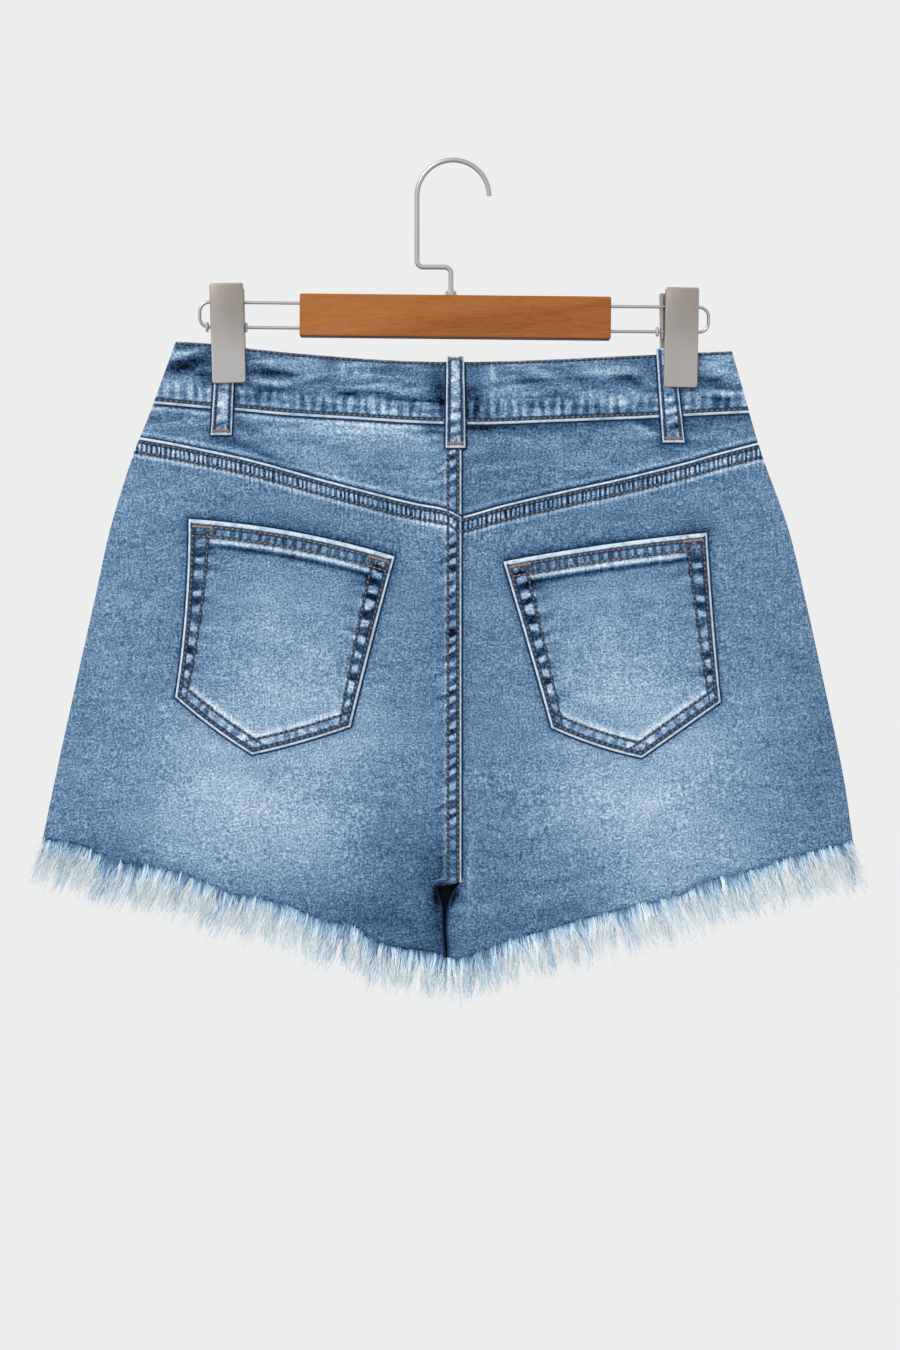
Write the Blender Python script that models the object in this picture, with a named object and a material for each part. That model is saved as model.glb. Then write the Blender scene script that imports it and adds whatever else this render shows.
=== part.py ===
"""Denim shorts with a frayed hem, hung flat by the waistband from a wooden clip hanger.

Metres, +Z up. The origin is the inner top of the hanger's hook. X runs across the garment, with the
wearer's left at -X. The garment's back faces -Y and its front faces +Y. The named sizes and the
tables are in millimetres, and Vector objects are in metres.
"""

import math
import random
from bisect import bisect_right

import bmesh
import bpy
from mathutils import Matrix, Vector

MM = 0.001
GAP = 0.3  # kept between pieces that touch
HALF_GAP = GAP / 2

# ---- cloth -----------------------------------------------------------------------------------------
PANEL_WALL = 1.3
WAISTBAND_WALL = 2.2  # two layers of denim
POCKET_WALL = 1.2
LOOP_WALL = 1.5
FELL_RISE = 0.7  # how far a double-stitched felled seam stands proud
PIPE_RISE = 0.4  # the folded edge of a patch pocket or waistband

BACK, FRONT = -1, 1
LAYER = {BACK: "back", FRONT: "front"}
LEFT, RIGHT = "left", "right"


class Table:
    """Rows with named columns. The first column is what a value between two rows is read by."""

    def __init__(self, columns, *rows):
        self.columns = columns.split()
        self.rows = [dict(zip(self.columns, row)) for row in rows]

    def span(self, at):
        """The two rows around a place in the first column, and the share of the way between them."""
        key = self.columns[0]
        order = sorted(self.rows, key=lambda row: row[key])
        keys = [row[key] for row in order]
        i = min(max(bisect_right(keys, at) - 1, 0), len(keys) - 2)
        return order, keys, i, min(max((at - keys[i]) / (keys[i + 1] - keys[i]), 0.0), 1.0)

    def straight(self, at, column):
        """The column's value at a place, with straight runs between the rows."""
        order, _, i, t = self.span(at)
        return order[i][column] + t * (order[i + 1][column] - order[i][column])

    def smooth(self, at, column):
        """The column's value at a place, on a smooth curve through the rows."""
        order, keys, i, t = self.span(at)

        def slope(k):
            low, high = max(k - 1, 0), min(k + 1, len(keys) - 1)
            return (order[high][column] - order[low][column]) / (keys[high] - keys[low])

        rise = order[i + 1][column] - order[i][column]
        step = keys[i + 1] - keys[i]
        a, b = slope(i) * step - rise, rise - slope(i + 1) * step
        return order[i][column] + t * rise + t * (1 - t) * ((1 - t) * a + t * b)

    def end(self, side):
        """The first row for the wearer's left and the last for the right, in a table that runs along x."""
        return self.rows[0 if side == LEFT else -1]


# The side seams: how far out the wearer's left and right edges lie at each height.
SIDES = Table(
    "z left right",
    (-125.0, -193.7, 193.0),
    (-170.0, -209.9, 205.8),
    (-205.0, -223.8, 216.2),
    (-255.0, -239.4, 234.2),
    (-300.0, -249.4, 245.2),
    (-370.0, -265.0, 260.7),
    (-430.0, -278.1, 273.2),
    (-478.0, -288.0, 280.3),
)

# The seams and edges that run across, each as rows of x and z.
WAIST_TOP = Table(
    "x z",
    (-194.0, -125.5),
    (-170.0, -127.0),
    (-145.0, -130.0),
    (-105.0, -134.5),
    (-50.0, -138.7),
    (5.0, -140.2),
    (80.0, -138.0),
    (125.0, -135.5),
    (195.0, -132.1),
)
WAIST_SEAM = Table(
    "x z",
    (-209.5, -169.0),
    (-170.0, -172.6),
    (-145.0, -174.4),
    (-113.0, -177.6),
    (-69.0, -180.4),
    (-25.0, -183.1),
    (19.0, -184.1),
    (63.0, -182.6),
    (107.0, -180.8),
    (150.0, -178.5),
    (206.0, -175.6),
)
YOKE_LEFT = Table(
    "x z",
    (-221.0, -192.2),
    (-214.0, -193.4),
    (-190.5, -197.7),
    (-143.0, -207.9),
    (-96.0, -220.9),
    (-49.3, -233.2),
    (-26.0, -238.8),
    (-5.6, -242.7),
    (5.9, -248.3),
)
YOKE_RIGHT = Table(
    "x z",
    (5.9, -248.3),
    (12.9, -246.5),
    (34.3, -240.3),
    (77.4, -230.2),
    (120.2, -220.8),
    (163.4, -209.9),
    (184.9, -203.6),
    (213.0, -196.2),
)
HEM_LEFT = Table(
    "x z",
    (-287.5, -474.2),
    (-260.0, -478.4),
    (-238.0, -488.6),
    (-185.0, -499.4),
    (-156.0, -510.8),
    (-118.0, -519.4),
    (-90.0, -530.5),
    (-68.0, -535.0),
    (-56.0, -545.0),
    (-25.0, -552.3),
    (-4.0, -557.5),
)
HEM_RIGHT = Table(
    "x z",
    (-4.0, -557.0),
    (3.0, -558.6),
    (42.0, -544.0),
    (72.0, -534.8),
    (114.0, -523.5),
    (158.0, -512.8),
    (174.0, -504.4),
    (208.0, -495.6),
    (232.0, -488.0),
    (280.0, -476.4),
)

# Where the panels' inner edges run: the centre seam, then the jog at the crotch, then the inseam.
CENTRE_BACK = 5.9
CENTRE_FRONT = 0.0
INSEAM = -4.6
SLIT_HALF = 0.8  # the legs hang this far to each side of the inseam's middle, below the crotch
INNER_BACK_LEFT = Table(
    "z x",
    (-248.5, CENTRE_BACK - HALF_GAP),
    (-504.0, CENTRE_BACK - HALF_GAP),
    (-508.5, -7.5),
    (-520.0, -10.0),
    (-529.0, -6.5),
    (-557.5, INSEAM - SLIT_HALF),
)
INNER_BACK_RIGHT = Table(
    "z x",
    (-248.5, CENTRE_BACK + HALF_GAP),
    (-504.0, CENTRE_BACK + SLIT_HALF),
    (-512.0, 2.0),
    (-522.0, -2.4),
    (-557.5, INSEAM + SLIT_HALF),
)
INNER_FRONT_LEFT = Table(
    "z x",
    (-190.0, CENTRE_FRONT - HALF_GAP),
    (-521.0, CENTRE_FRONT - HALF_GAP),
    (-534.0, INSEAM - SLIT_HALF),
    (-557.5, INSEAM - SLIT_HALF),
)
INNER_FRONT_RIGHT = Table(
    "z x",
    (-190.0, CENTRE_FRONT + HALF_GAP),
    (-521.0, CENTRE_FRONT + HALF_GAP),
    (-534.0, INSEAM + SLIT_HALF),
    (-557.5, INSEAM + SLIT_HALF),
)

# The front is cut lower than the back at the waist, and a little shorter at the hem.
FRONT_WAIST_DROP = 12.0
FRONT_DROP_REACH = 200.0  # the drop fades out to the sides over this distance from the centre
FRONT_HEM_RISE = 4.0

# Half of the hollow between the back and front layers, at each height, before it closes to the seams.
DEPTHS = Table(
    "z back front",
    (-120.0, 4.2, 4.6),
    (-175.0, 6.0, 6.0),
    (-250.0, 9.0, 8.0),
    (-340.0, 10.5, 8.5),
    (-450.0, 9.5, 8.5),
    (-600.0, 8.0, 8.0),
)
SIDE_CLOSING = 95.0  # the hollow closes to the side seams over this width
CROTCH_CLOSING = 80.0  # and to the inseams over this one
CROTCH_FADE = (-430.0, -506.0)  # heights between which the inseam starts to draw the layers together

# The largest soft folds, each running down the cloth as a low ridge or trough.
FOLDS = Table(
    "x lean top full width back front",
    (-243.0, -0.15, -400.0, -480.0, 17.0, 1.7, 1.2),
    (-204.0, -0.12, -420.0, -500.0, 15.0, -1.6, -1.2),
    (-158.0, -0.10, -390.0, -500.0, 18.0, 1.9, 1.6),
    (-112.0, -0.06, -430.0, -515.0, 16.0, -1.7, -1.4),
    (-62.0, 0.00, -440.0, -530.0, 15.0, 2.0, 1.5),
    (46.0, 0.02, -430.0, -530.0, 16.0, 2.0, 1.6),
    (92.0, 0.05, -420.0, -515.0, 17.0, -1.6, -1.3),
    (137.0, 0.08, -400.0, -505.0, 17.0, 1.6, 1.5),
    (183.0, 0.10, -410.0, -500.0, 16.0, -1.8, -1.2),
    (236.0, 0.12, -400.0, -480.0, 16.0, 1.6, 1.2),
)

# The patch pockets: five corners each, as x and z, and how far the edges between them curve outwards,
# in the order top, inner, inner bottom, outer bottom, outer.
POCKETS = Table(
    "name outer_top inner_top inner_bottom point outer_bottom curves",
    (
        "pocket_left",
        (-184.3, -250.0),
        (-40.7, -276.2),
        (-71.4, -394.8),
        (-139.9, -414.1),
        (-193.5, -374.1),
        (4.2, -0.5, 1.2, 1.5, -2.5),
    ),
    (
        "pocket_right",
        (177.0, -259.6),
        (35.1, -279.8),
        (68.6, -395.6),
        (131.5, -416.4),
        (186.4, -377.6),
        (1.7, -0.3, 1.9, 0.0, -0.7),
    ),
)

# The belt loops: x at the top and bottom, width at the top and bottom, and which side they are on.
# below is how far the foot reaches past the waistband's seam, foot what it steps over there.
LOOPS = Table(
    "name facing x_top x_bottom width_top width_bottom below foot bow",
    ("loop_back_centre", BACK, 1.6, 1.8, 12.2, 13.8, 16.4, FELL_RISE, 1.4),
    ("loop_back_left", BACK, -158.6, -162.0, 12.8, 14.6, 17.9, 0.0, 0.0),
    ("loop_back_right", BACK, 148.2, 154.2, 12.4, 15.4, 18.0, 0.0, 0.0),
    ("loop_front_left", FRONT, -84.0, -85.0, 12.6, 13.4, 14.5, 0.0, 1.4),
    ("loop_front_right", FRONT, 84.0, 85.0, 12.6, 13.4, 14.5, 0.0, 1.4),
)
LOOP_ABOVE = 4.0  # a loop reaches this far above the waistband
LOOP_STEPS = 12

# ---- frayed hem ------------------------------------------------------------------------------------
FRINGE_STRIP = 2.6  # height of the strip that the locks grow from
LOCK_PITCH = 5.9  # from one lock's root to the next, along the hem
LOCK_CURL = 1.3  # above 1, a lock leans more towards its tip
FRINGE = Table(
    "share reach lean",
    (0.00, 30.0, 11.5),
    (0.20, 28.5, 10.0),
    (0.45, 28.0, 9.0),
    (0.70, 28.5, 7.0),
    (0.90, 27.0, 4.0),
    (1.00, 27.5, 2.0),
)
LOCK_RINGS = Table("down width thickness", (0.34, 0.84, 0.95), (0.74, 0.56, 0.75))
LOCK_LENGTHS = (0.86, 1.08)  # the shortest and longest lock as a share of the reach
LOCK_STRAY = 0.7  # how far a tip strays along the hem
LOCK_SWAY = 0.8  # and across it

# ---- metal waist button ----------------------------------------------------------------------------
BUTTON_X = -11.5
# radius and height above the waistband, from the shank to the middle of the head
BUTTON_PROFILE = ((5.2, 0.0), (5.2, 0.8), (8.4, 1.3), (8.6, 2.1), (7.9, 2.9), (6.4, 2.7), (3.0, 2.3))
BUTTON_STEPS = 20

# ---- hanger ----------------------------------------------------------------------------------------
HANGER_TILT = math.radians(0.6)  # the bar hangs this much lower at the wearer's right
BAR_CENTRE = (1.6, -108.3)
BAR_SIZE = (217.4, 16.0, 29.6)
BAR_EDGE = 1.2
BORE_DEPTH = 9.0
HOOK_RADIUS = 25.2
HOOK_WIRE = 1.75
HOOK_LEG_BOTTOM = -73.2
HOOK_STEM_X = -1.5
HOOK_BEND = 4.5
COLLAR_RADIUS = 4.0
COLLAR_TOP_RADIUS = 3.2
COLLAR_SHOULDER = 1.9
COLLAR_HEIGHT = 3.2
COLLAR_STEPS = 12
COLLAR_CLEAR = 0.4
RAIL_WIRE = 1.15
RAIL_SPACING = 17.4
RAIL_ENDS = (-177.3, 180.6)
CLIPS = Table(
    "name x top lean jaw_shift",
    ("clip_left", -158.2, -85.0, 1.5, 0.0),
    ("clip_right", 160.0, -88.0, 0.6, -3.6),
)
CLIP_WIDTH = 23.6
CLIP_HEIGHT = 70.0
CLIP_PLATE = 1.8
CLIP_JAW = 1.6
CHEEK_WALL = 1.2
CHEEK_TOP = 4.0
CHEEK_HEIGHT = 31.5
CLIP_EDGE = 0.7
CLIP_FLAT = 19.0  # the cloth is pinched flat this far to each side of a clip's middle
CLIP_FREE = 68.0  # and is free again from here
CLIP_FADE = (-160.0, -235.0)
DRILL_END = 195.0  # the cheeks' bores are drilled from the bar out to here

DENIM = (0.16, 0.29, 0.48, 1.0)
DENIM_PALE = (0.30, 0.45, 0.63, 1.0)
FRAY = (0.78, 0.86, 0.93, 1.0)
CHERRY = (0.47, 0.19, 0.06, 1.0)
NICKEL = (0.60, 0.58, 0.55, 1.0)
COPPER = (0.45, 0.27, 0.16, 1.0)


# ---- small sums -------------------------------------------------------------------------------------
def ease(start, end, at):
    """0 before start, 1 after end, and a soft step between them."""
    t = min(max((at - start) / (end - start), 0.0), 1.0)
    return t * t * (3 - 2 * t)


def mix(a, b, t):
    return a + (b - a) * t


# ---- the hollow form that every cloth piece lies on ------------------------------------------------
def side_edges(z):
    return SIDES.smooth(z, LEFT), SIDES.smooth(z, RIGHT)


def closing(distance, over):
    """How open the hollow is at a distance from a seam, as a share: rounded, like a folded sheet."""
    left = 1 - min(max(distance, 0.0) / over, 1.0)
    return 1 - left * left


def hollow(x, z, facing):
    """How far the layer's inner face is from the garment's mid plane."""
    left, right = side_edges(z)
    drawn = ease(*CROTCH_FADE, z)
    open_share = closing(min(x - left, right - x), SIDE_CLOSING)
    open_share *= 1 - drawn * (1 - closing(abs(x - INSEAM), CROTCH_CLOSING))
    depth = DEPTHS.smooth(z, LAYER[facing])
    for clip in CLIPS.rows:
        pinch = 1 - ease(CLIP_FLAT, CLIP_FREE, abs(x - clip["x"]))
        depth *= 1 - pinch * (1 - ease(*CLIP_FADE, z))
    for fold in FOLDS.rows:
        along = ease(fold["top"], fold["full"], z)
        middle = fold["x"] + fold["lean"] * (fold["full"] - z)
        across = math.exp(-(((x - middle) / fold["width"]) ** 2))
        depth += fold[LAYER[facing]] * along * across
    return HALF_GAP + max(depth * open_share, 0.0)


def waist_drop(x):
    """How much lower the front's waist lies than the back's."""
    return FRONT_WAIST_DROP * max(0.0, 1 - (x / FRONT_DROP_REACH) ** 2)


def waist_top(x, facing):
    return WAIST_TOP.smooth(x, "z") - (waist_drop(x) if facing == FRONT else 0.0)


def waist_seam(x, facing):
    return WAIST_SEAM.smooth(x, "z") - (waist_drop(x) if facing == FRONT else 0.0)


# ---- building --------------------------------------------------------------------------------------
def material(name, colour, roughness, metallic=0.0):
    made = bpy.data.materials.get(name)
    if made is None:
        made = bpy.data.materials.new(name)
        made.use_nodes = True
        shader = made.node_tree.nodes["Principled BSDF"]
        shader.inputs["Base Color"].default_value = colour
        shader.inputs["Roughness"].default_value = roughness
        shader.inputs["Metallic"].default_value = metallic
    return made


def add_object(name, data, look, smooth_angle=math.radians(40)):
    made = bpy.data.objects.new(name, data)
    bpy.context.scene.collection.objects.link(made)
    data.materials.append(material(f"{name}_look", *look))
    if isinstance(data, bpy.types.Mesh):
        data.shade_smooth()
        data.set_sharp_from_angle(angle=smooth_angle)
    return made


def finish_mesh(name, bm, look):
    """Turns a closed bmesh into the named object, faces out."""
    bmesh.ops.recalc_face_normals(bm, faces=bm.faces)
    mesh = bpy.data.meshes.new(name)
    bm.to_mesh(mesh)
    bm.free()
    return add_object(name, mesh, look)


def at(x, y, z):
    return Vector((x, y, z)) * MM


LINE_CLEAR = 0.4  # an even grid line nearer a mark than this share of a step is left out


def grid_lines(count, *marks):
    """Even shares from 0 to 1, and marks where a raised band starts."""
    near = LINE_CLEAR / count
    even = [i / count for i in range(count + 1)]
    kept = [s for s in even if s in (0, 1) or all(abs(s - mark) > near for mark in marks)]
    return sorted(kept + list(marks))


def patch(top, bottom, outer, inner):
    """The surface between four edges, each a function of a share; returns a function of (across, down)."""

    def place(u, v):
        ends = (top(0), top(1), bottom(0), bottom(1))
        point = []
        for k in (0, 1):
            edges = mix(top(u)[k], bottom(u)[k], v) + mix(outer(v)[k], inner(v)[k], u)
            corners = mix(mix(ends[0][k], ends[1][k], u), mix(ends[2][k], ends[3][k], u), v)
            point.append(edges - corners)
        return point

    return place


def cloth_wall(name, place, across, down, facing, wall, look, lift=None, relief=None):
    """A closed wall of cloth on the garment's form. The inner face is plain, and relief moves the outer one."""
    bm = bmesh.new()
    inner, outer = [], []
    for v in down:
        for row, depth in ((inner, 0.0), (outer, wall)):
            made = []
            for u in across:
                x, z = place(u, v)
                y = hollow(x, z, facing) + depth
                y += lift(u, v) if lift else 0.0
                y += relief(u, v) if relief and depth else 0.0
                made.append(bm.verts.new(at(x, facing * y, z)))
            row.append(made)
    last_row, last_column = len(down) - 1, len(across) - 1
    for sheet in (inner, outer):
        for j in range(last_row):
            for i in range(last_column):
                bm.faces.new((sheet[j][i], sheet[j][i + 1], sheet[j + 1][i + 1], sheet[j + 1][i]))
    for i in range(last_column):
        for j in (0, last_row):
            bm.faces.new((inner[j][i], inner[j][i + 1], outer[j][i + 1], outer[j][i]))
    for j in range(last_row):
        for i in (0, last_column):
            bm.faces.new((inner[j][i], inner[j + 1][i], outer[j + 1][i], outer[j][i]))
    return finish_mesh(name, bm, look)


def tube(name, points, radius, look, sides=8):
    """A wire along the points, with closed ends."""
    curve = bpy.data.curves.new(name, "CURVE")
    curve.dimensions = "3D"
    curve.bevel_depth = radius * MM
    curve.bevel_resolution = sides // 2 - 2
    curve.use_fill_caps = True
    spline = curve.splines.new("POLY")
    spline.points.add(len(points) - 1)
    for target, point in zip(spline.points, points):
        target.co = (*at(*point), 1.0)
    return add_object(name, curve, look)


def box(name, low, high, edge=0.0):
    """A box between two corners in millimetres, with its edges rounded off."""
    bm = bmesh.new()
    bmesh.ops.create_cube(bm, size=1.0)
    for vert in bm.verts:
        vert.co = Vector([mix(low[k], high[k], vert.co[k] + 0.5) for k in range(3)]) * MM
    if edge:
        bmesh.ops.bevel(bm, geom=bm.edges[:], offset=edge * MM, segments=2, affect="EDGES", profile=0.5)
    mesh = bpy.data.meshes.new(name)
    bm.to_mesh(mesh)
    bm.free()
    return mesh


def guide(name, mesh):
    """A cutter, which isn't part of the object."""
    made = bpy.data.objects.new(name, mesh)
    bpy.context.scene.collection.objects.link(made)
    made.hide_render = True
    made.display_type = "WIRE"
    return made


def rod_mesh(name, start, end, radius, sides=12):
    """A straight rod between two points in millimetres."""
    a, b = at(*start), at(*end)
    bm = bmesh.new()
    turn = (b - a).to_track_quat("Z", "Y").to_matrix().to_4x4()
    bmesh.ops.create_cone(
        bm,
        cap_ends=True,
        segments=sides,
        radius1=radius * MM,
        radius2=radius * MM,
        depth=(b - a).length,
        matrix=Matrix.Translation((a + b) / 2) @ turn,
    )
    mesh = bpy.data.meshes.new(name)
    bm.to_mesh(mesh)
    bm.free()
    return mesh


def change(target, operation, other):
    """A live Boolean with another object."""
    step = target.modifiers.new(other.name, "BOOLEAN")
    step.operation = operation
    step.solver = "EXACT"
    step.object = other


def turned(name, profile, steps, ring=False):
    """A turned piece about Z from rows of radius and height. A ring has a hole along its axis."""
    bm = bmesh.new()
    turns = [2 * math.pi * k / steps for k in range(steps)]
    rings = [
        [bm.verts.new(at(radius * math.cos(t), radius * math.sin(t), height)) for t in turns]
        for radius, height in profile
    ]
    pairs = list(zip(rings, rings[1:])) + ([(rings[-1], rings[0])] if ring else [])
    for low, high in pairs:
        for k in range(steps):
            n = (k + 1) % steps
            bm.faces.new((low[k], low[n], high[n], high[k]))
    if not ring:
        bm.faces.new(rings[0])
        bm.faces.new(rings[-1])
    bmesh.ops.recalc_face_normals(bm, faces=bm.faces)
    mesh = bpy.data.meshes.new(name)
    bm.to_mesh(mesh)
    bm.free()
    return mesh


# ---- lines that the pieces share -------------------------------------------------------------------
def side_line(side, z_top, z_bottom):
    """A stretch of a side seam as a function of a share."""

    def line(v):
        z = mix(z_top, z_bottom, v)
        return SIDES.smooth(z, side), z

    return line


def inner_line(rows, z_top, z_bottom):
    """A stretch of a centre seam or inseam as a function of a share."""

    def line(v):
        z = mix(z_top, z_bottom, v)
        return rows.straight(z, "x"), z

    return line


def cross_line(height_at, x_side, x_centre):
    """A seam that runs from the side to the centre as a function of a share."""

    def line(u):
        x = mix(x_side, x_centre, u)
        return x, height_at(x)

    return line


def share_down(z, z_top, z_bottom):
    return (z - z_top) / (z_bottom - z_top)


PANEL_ACROSS = 15
FELL_ACROSS = 0.952  # the centre fell starts here on its way from the side seam
FELL_STEP = 0.005
ACROSS = grid_lines(PANEL_ACROSS, FELL_ACROSS - FELL_STEP, FELL_ACROSS)


# ---- waistband -------------------------------------------------------------------------------------
BAND_FOLD = 0.93  # the waistband's folded lower edge starts at this share of its height
BAND_STEP = 0.03
BAND_DOWN = (0.0, 0.5, BAND_FOLD - BAND_STEP, BAND_FOLD, 1.0)


def band_half(side, facing, centre):
    """Half of the waistband, from the side seam to the centre."""
    top_x = SIDES.smooth(WAIST_TOP.end(side)["z"], side)
    seam_x = SIDES.smooth(WAIST_SEAM.end(side)["z"], side)

    def place(u, v):
        x_top, x_seam = mix(top_x, centre, u), mix(seam_x, centre, u)
        z_top, z_seam = waist_top(x_top, facing), waist_seam(x_seam, facing) + HALF_GAP
        return mix(x_top, x_seam, v), mix(z_top, z_seam, v)

    return place


def band_relief(u, v):
    return PIPE_RISE if v >= BAND_FOLD else 0.0


def band_back(u, v):
    """The back waistband in one piece, with both halves' columns."""
    if u <= 0.5:
        return band_half(LEFT, BACK, CENTRE_BACK)(2 * u, v)
    return band_half(RIGHT, BACK, CENTRE_BACK)(2 - 2 * u, v)


def make_waistband():
    look = (DENIM, 0.9)
    whole = [u / 2 for u in ACROSS] + [1 - u / 2 for u in reversed(ACROSS[:-1])]
    cloth_wall(
        "waistband_back", band_back, whole, BAND_DOWN, BACK, WAISTBAND_WALL, look, relief=band_relief
    )
    for name, side, shift in (
        ("waistband_front_left", LEFT, -HALF_GAP),
        ("waistband_front_right", RIGHT, HALF_GAP),
    ):
        place = band_half(side, FRONT, CENTRE_FRONT + shift)
        cloth_wall(name, place, ACROSS, BAND_DOWN, FRONT, WAISTBAND_WALL, look, relief=band_relief)


# ---- yokes -----------------------------------------------------------------------------------------
YOKE_DOWN = 4


def yoke_place(side, rows, centre):
    seam_z, low_z = WAIST_SEAM.end(side)["z"] - HALF_GAP, rows.end(side)["z"] + HALF_GAP
    seam_x, low_x = SIDES.smooth(seam_z, side), SIDES.smooth(low_z, side)
    centre_top = waist_seam(centre, BACK) - HALF_GAP
    centre_bottom = rows.smooth(centre, "z") + HALF_GAP
    return patch(
        cross_line(lambda x: waist_seam(x, BACK) - HALF_GAP, seam_x, centre),
        cross_line(lambda x: rows.smooth(x, "z") + HALF_GAP, low_x, centre),
        side_line(side, seam_z, low_z),
        lambda v: (centre, mix(centre_top, centre_bottom, v)),
    )


def make_yokes():
    down = grid_lines(YOKE_DOWN)
    for name, side, rows, shift in (
        ("yoke_left", LEFT, YOKE_LEFT, -HALF_GAP),
        ("yoke_right", RIGHT, YOKE_RIGHT, HALF_GAP),
    ):

        def relief(u, v, felled=side == LEFT):
            return FELL_RISE if felled and u >= FELL_ACROSS else 0.0

        place = yoke_place(side, rows, CENTRE_BACK + shift)
        cloth_wall(name, place, ACROSS, down, BACK, PANEL_WALL, (DENIM, 0.9), relief=relief)


# ---- back and front panels -------------------------------------------------------------------------
PANEL_DOWN = 12
FELL_DOWN = 0.036  # the yoke fell's depth as a share of the panel's height
FLY_EDGE = 0.62  # the fly's folded edge runs this far down the front


def panel_place(side, top_height, hem_height, top_z, hem_z, inner):
    """A panel between its top seam, its hem, its side seam and its centre seam with the inseam."""
    top_x, hem_x = SIDES.smooth(top_z, side), SIDES.smooth(hem_z, side)
    x_top, x_hem = inner.rows[0]["x"], inner.rows[-1]["x"]
    z_top, z_hem = top_height(x_top), hem_height(x_hem)
    place = patch(
        cross_line(top_height, top_x, x_top),
        cross_line(hem_height, hem_x, x_hem),
        side_line(side, top_z, hem_z),
        inner_line(inner, z_top, z_hem),
    )
    marks = [share_down(row["z"], z_top, z_hem) for row in inner.rows[1:-1]]
    return place, marks


def front_hem(rows, x):
    """The front's hem, which rises a little between the side seam and the inseam."""
    low, high = rows.rows[0]["x"], rows.rows[-1]["x"]
    share = min(max((x - low) / (high - low), 0.0), 1.0)
    return rows.smooth(x, "z") + FRONT_HEM_RISE * math.sin(math.pi * share)


def panel_edges(panel):
    """The panel's top and bottom lines as functions of x, and its top seam's height at the side."""
    hem, yoke, side = panel["hem"], panel["yoke"], panel["side"]
    if panel["facing"] == BACK:

        def top(x):
            return yoke.smooth(x, "z") - HALF_GAP

        def bottom(x):
            return hem.smooth(x, "z")

        return top, bottom, yoke.end(side)["z"] - HALF_GAP

    def front_top(x):
        return waist_seam(x, FRONT) - HALF_GAP

    def front_bottom(x):
        return front_hem(hem, x)

    return front_top, front_bottom, WAIST_SEAM.end(side)["z"] - HALF_GAP


def panel_relief(panel, crotch):
    """The felled seams at a back panel's top and centre, and the fly's folded edge on the front."""
    back, overlaps = panel["facing"] == BACK, panel["side"] == LEFT

    def relief(u, v):
        raised = back and v <= FELL_DOWN
        if overlaps and u >= FELL_ACROSS:
            raised = raised or v <= (crotch if back else FLY_EDGE)
        return FELL_RISE if raised else 0.0

    return relief


PANELS = Table(
    "name side facing yoke hem inner",
    ("back_left", LEFT, BACK, YOKE_LEFT, HEM_LEFT, INNER_BACK_LEFT),
    ("back_right", RIGHT, BACK, YOKE_RIGHT, HEM_RIGHT, INNER_BACK_RIGHT),
    ("front_left", LEFT, FRONT, None, HEM_LEFT, INNER_FRONT_LEFT),
    ("front_right", RIGHT, FRONT, None, HEM_RIGHT, INNER_FRONT_RIGHT),
)


def make_panels():
    """The four panels. Returns each one's place function by name, for the fringe that grows from it."""
    places = {}
    for panel in PANELS.rows:
        top, bottom, top_z = panel_edges(panel)
        hem_z = panel["hem"].end(panel["side"])["z"]
        place, marks = panel_place(panel["side"], top, bottom, top_z, hem_z, panel["inner"])
        down = grid_lines(PANEL_DOWN, FELL_DOWN, FELL_DOWN + FELL_STEP, *marks)
        name, relief = panel["name"], panel_relief(panel, marks[0])
        look = (DENIM, 0.9)
        cloth_wall(name, place, ACROSS, down, panel["facing"], PANEL_WALL, look, relief=relief)
        places[name] = place
    return places


# ---- patch pockets ---------------------------------------------------------------------------------
POCKET_ACROSS, POCKET_DOWN = 6, 6
POCKET_HEM = 0.10  # the turned-in edges, as shares of the pocket's height and width
POCKET_SIDE = 0.075
POCKET_STEP = 0.012


def curved(start, end, curve, middle):
    """The line from start to end as a function of 0 to 1, curved away from the pocket's middle."""
    outward = Vector((end.y - start.y, start.x - end.x)).normalized()
    if outward.dot(start.lerp(end, 0.5) - middle) < 0:
        outward = -outward
    return lambda t: start.lerp(end, t) + 4 * t * (1 - t) * curve * outward


def pocket_place(pocket):
    keys = ("outer_top", "inner_top", "inner_bottom", "point", "outer_bottom")
    corners = {key: Vector(pocket[key]) for key in keys}
    middle = sum(corners.values(), Vector((0.0, 0.0))) / len(keys)
    top, inner, inner_bottom, outer_bottom, outer = pocket["curves"]
    outer_run = (corners["point"] - corners["outer_bottom"]).length
    inner_run = (corners["inner_bottom"] - corners["point"]).length
    point_at = outer_run / (outer_run + inner_run)

    def edge(start, end, curve):
        return curved(corners[start], corners[end], curve, middle)

    outer_low = edge("outer_bottom", "point", outer_bottom)
    inner_low = edge("point", "inner_bottom", inner_bottom)

    def bottom(u):
        return outer_low(u / point_at) if u <= point_at else inner_low((u - point_at) / (1 - point_at))

    place = patch(
        edge("outer_top", "inner_top", top),
        bottom,
        edge("outer_top", "outer_bottom", outer),
        edge("inner_top", "inner_bottom", inner),
    )
    return place, point_at


def pocket_relief(u, v):
    middle = POCKET_SIDE < u < 1 - POCKET_SIDE and POCKET_HEM < v < 1 - POCKET_HEM
    return 0.0 if middle else PIPE_RISE


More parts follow.
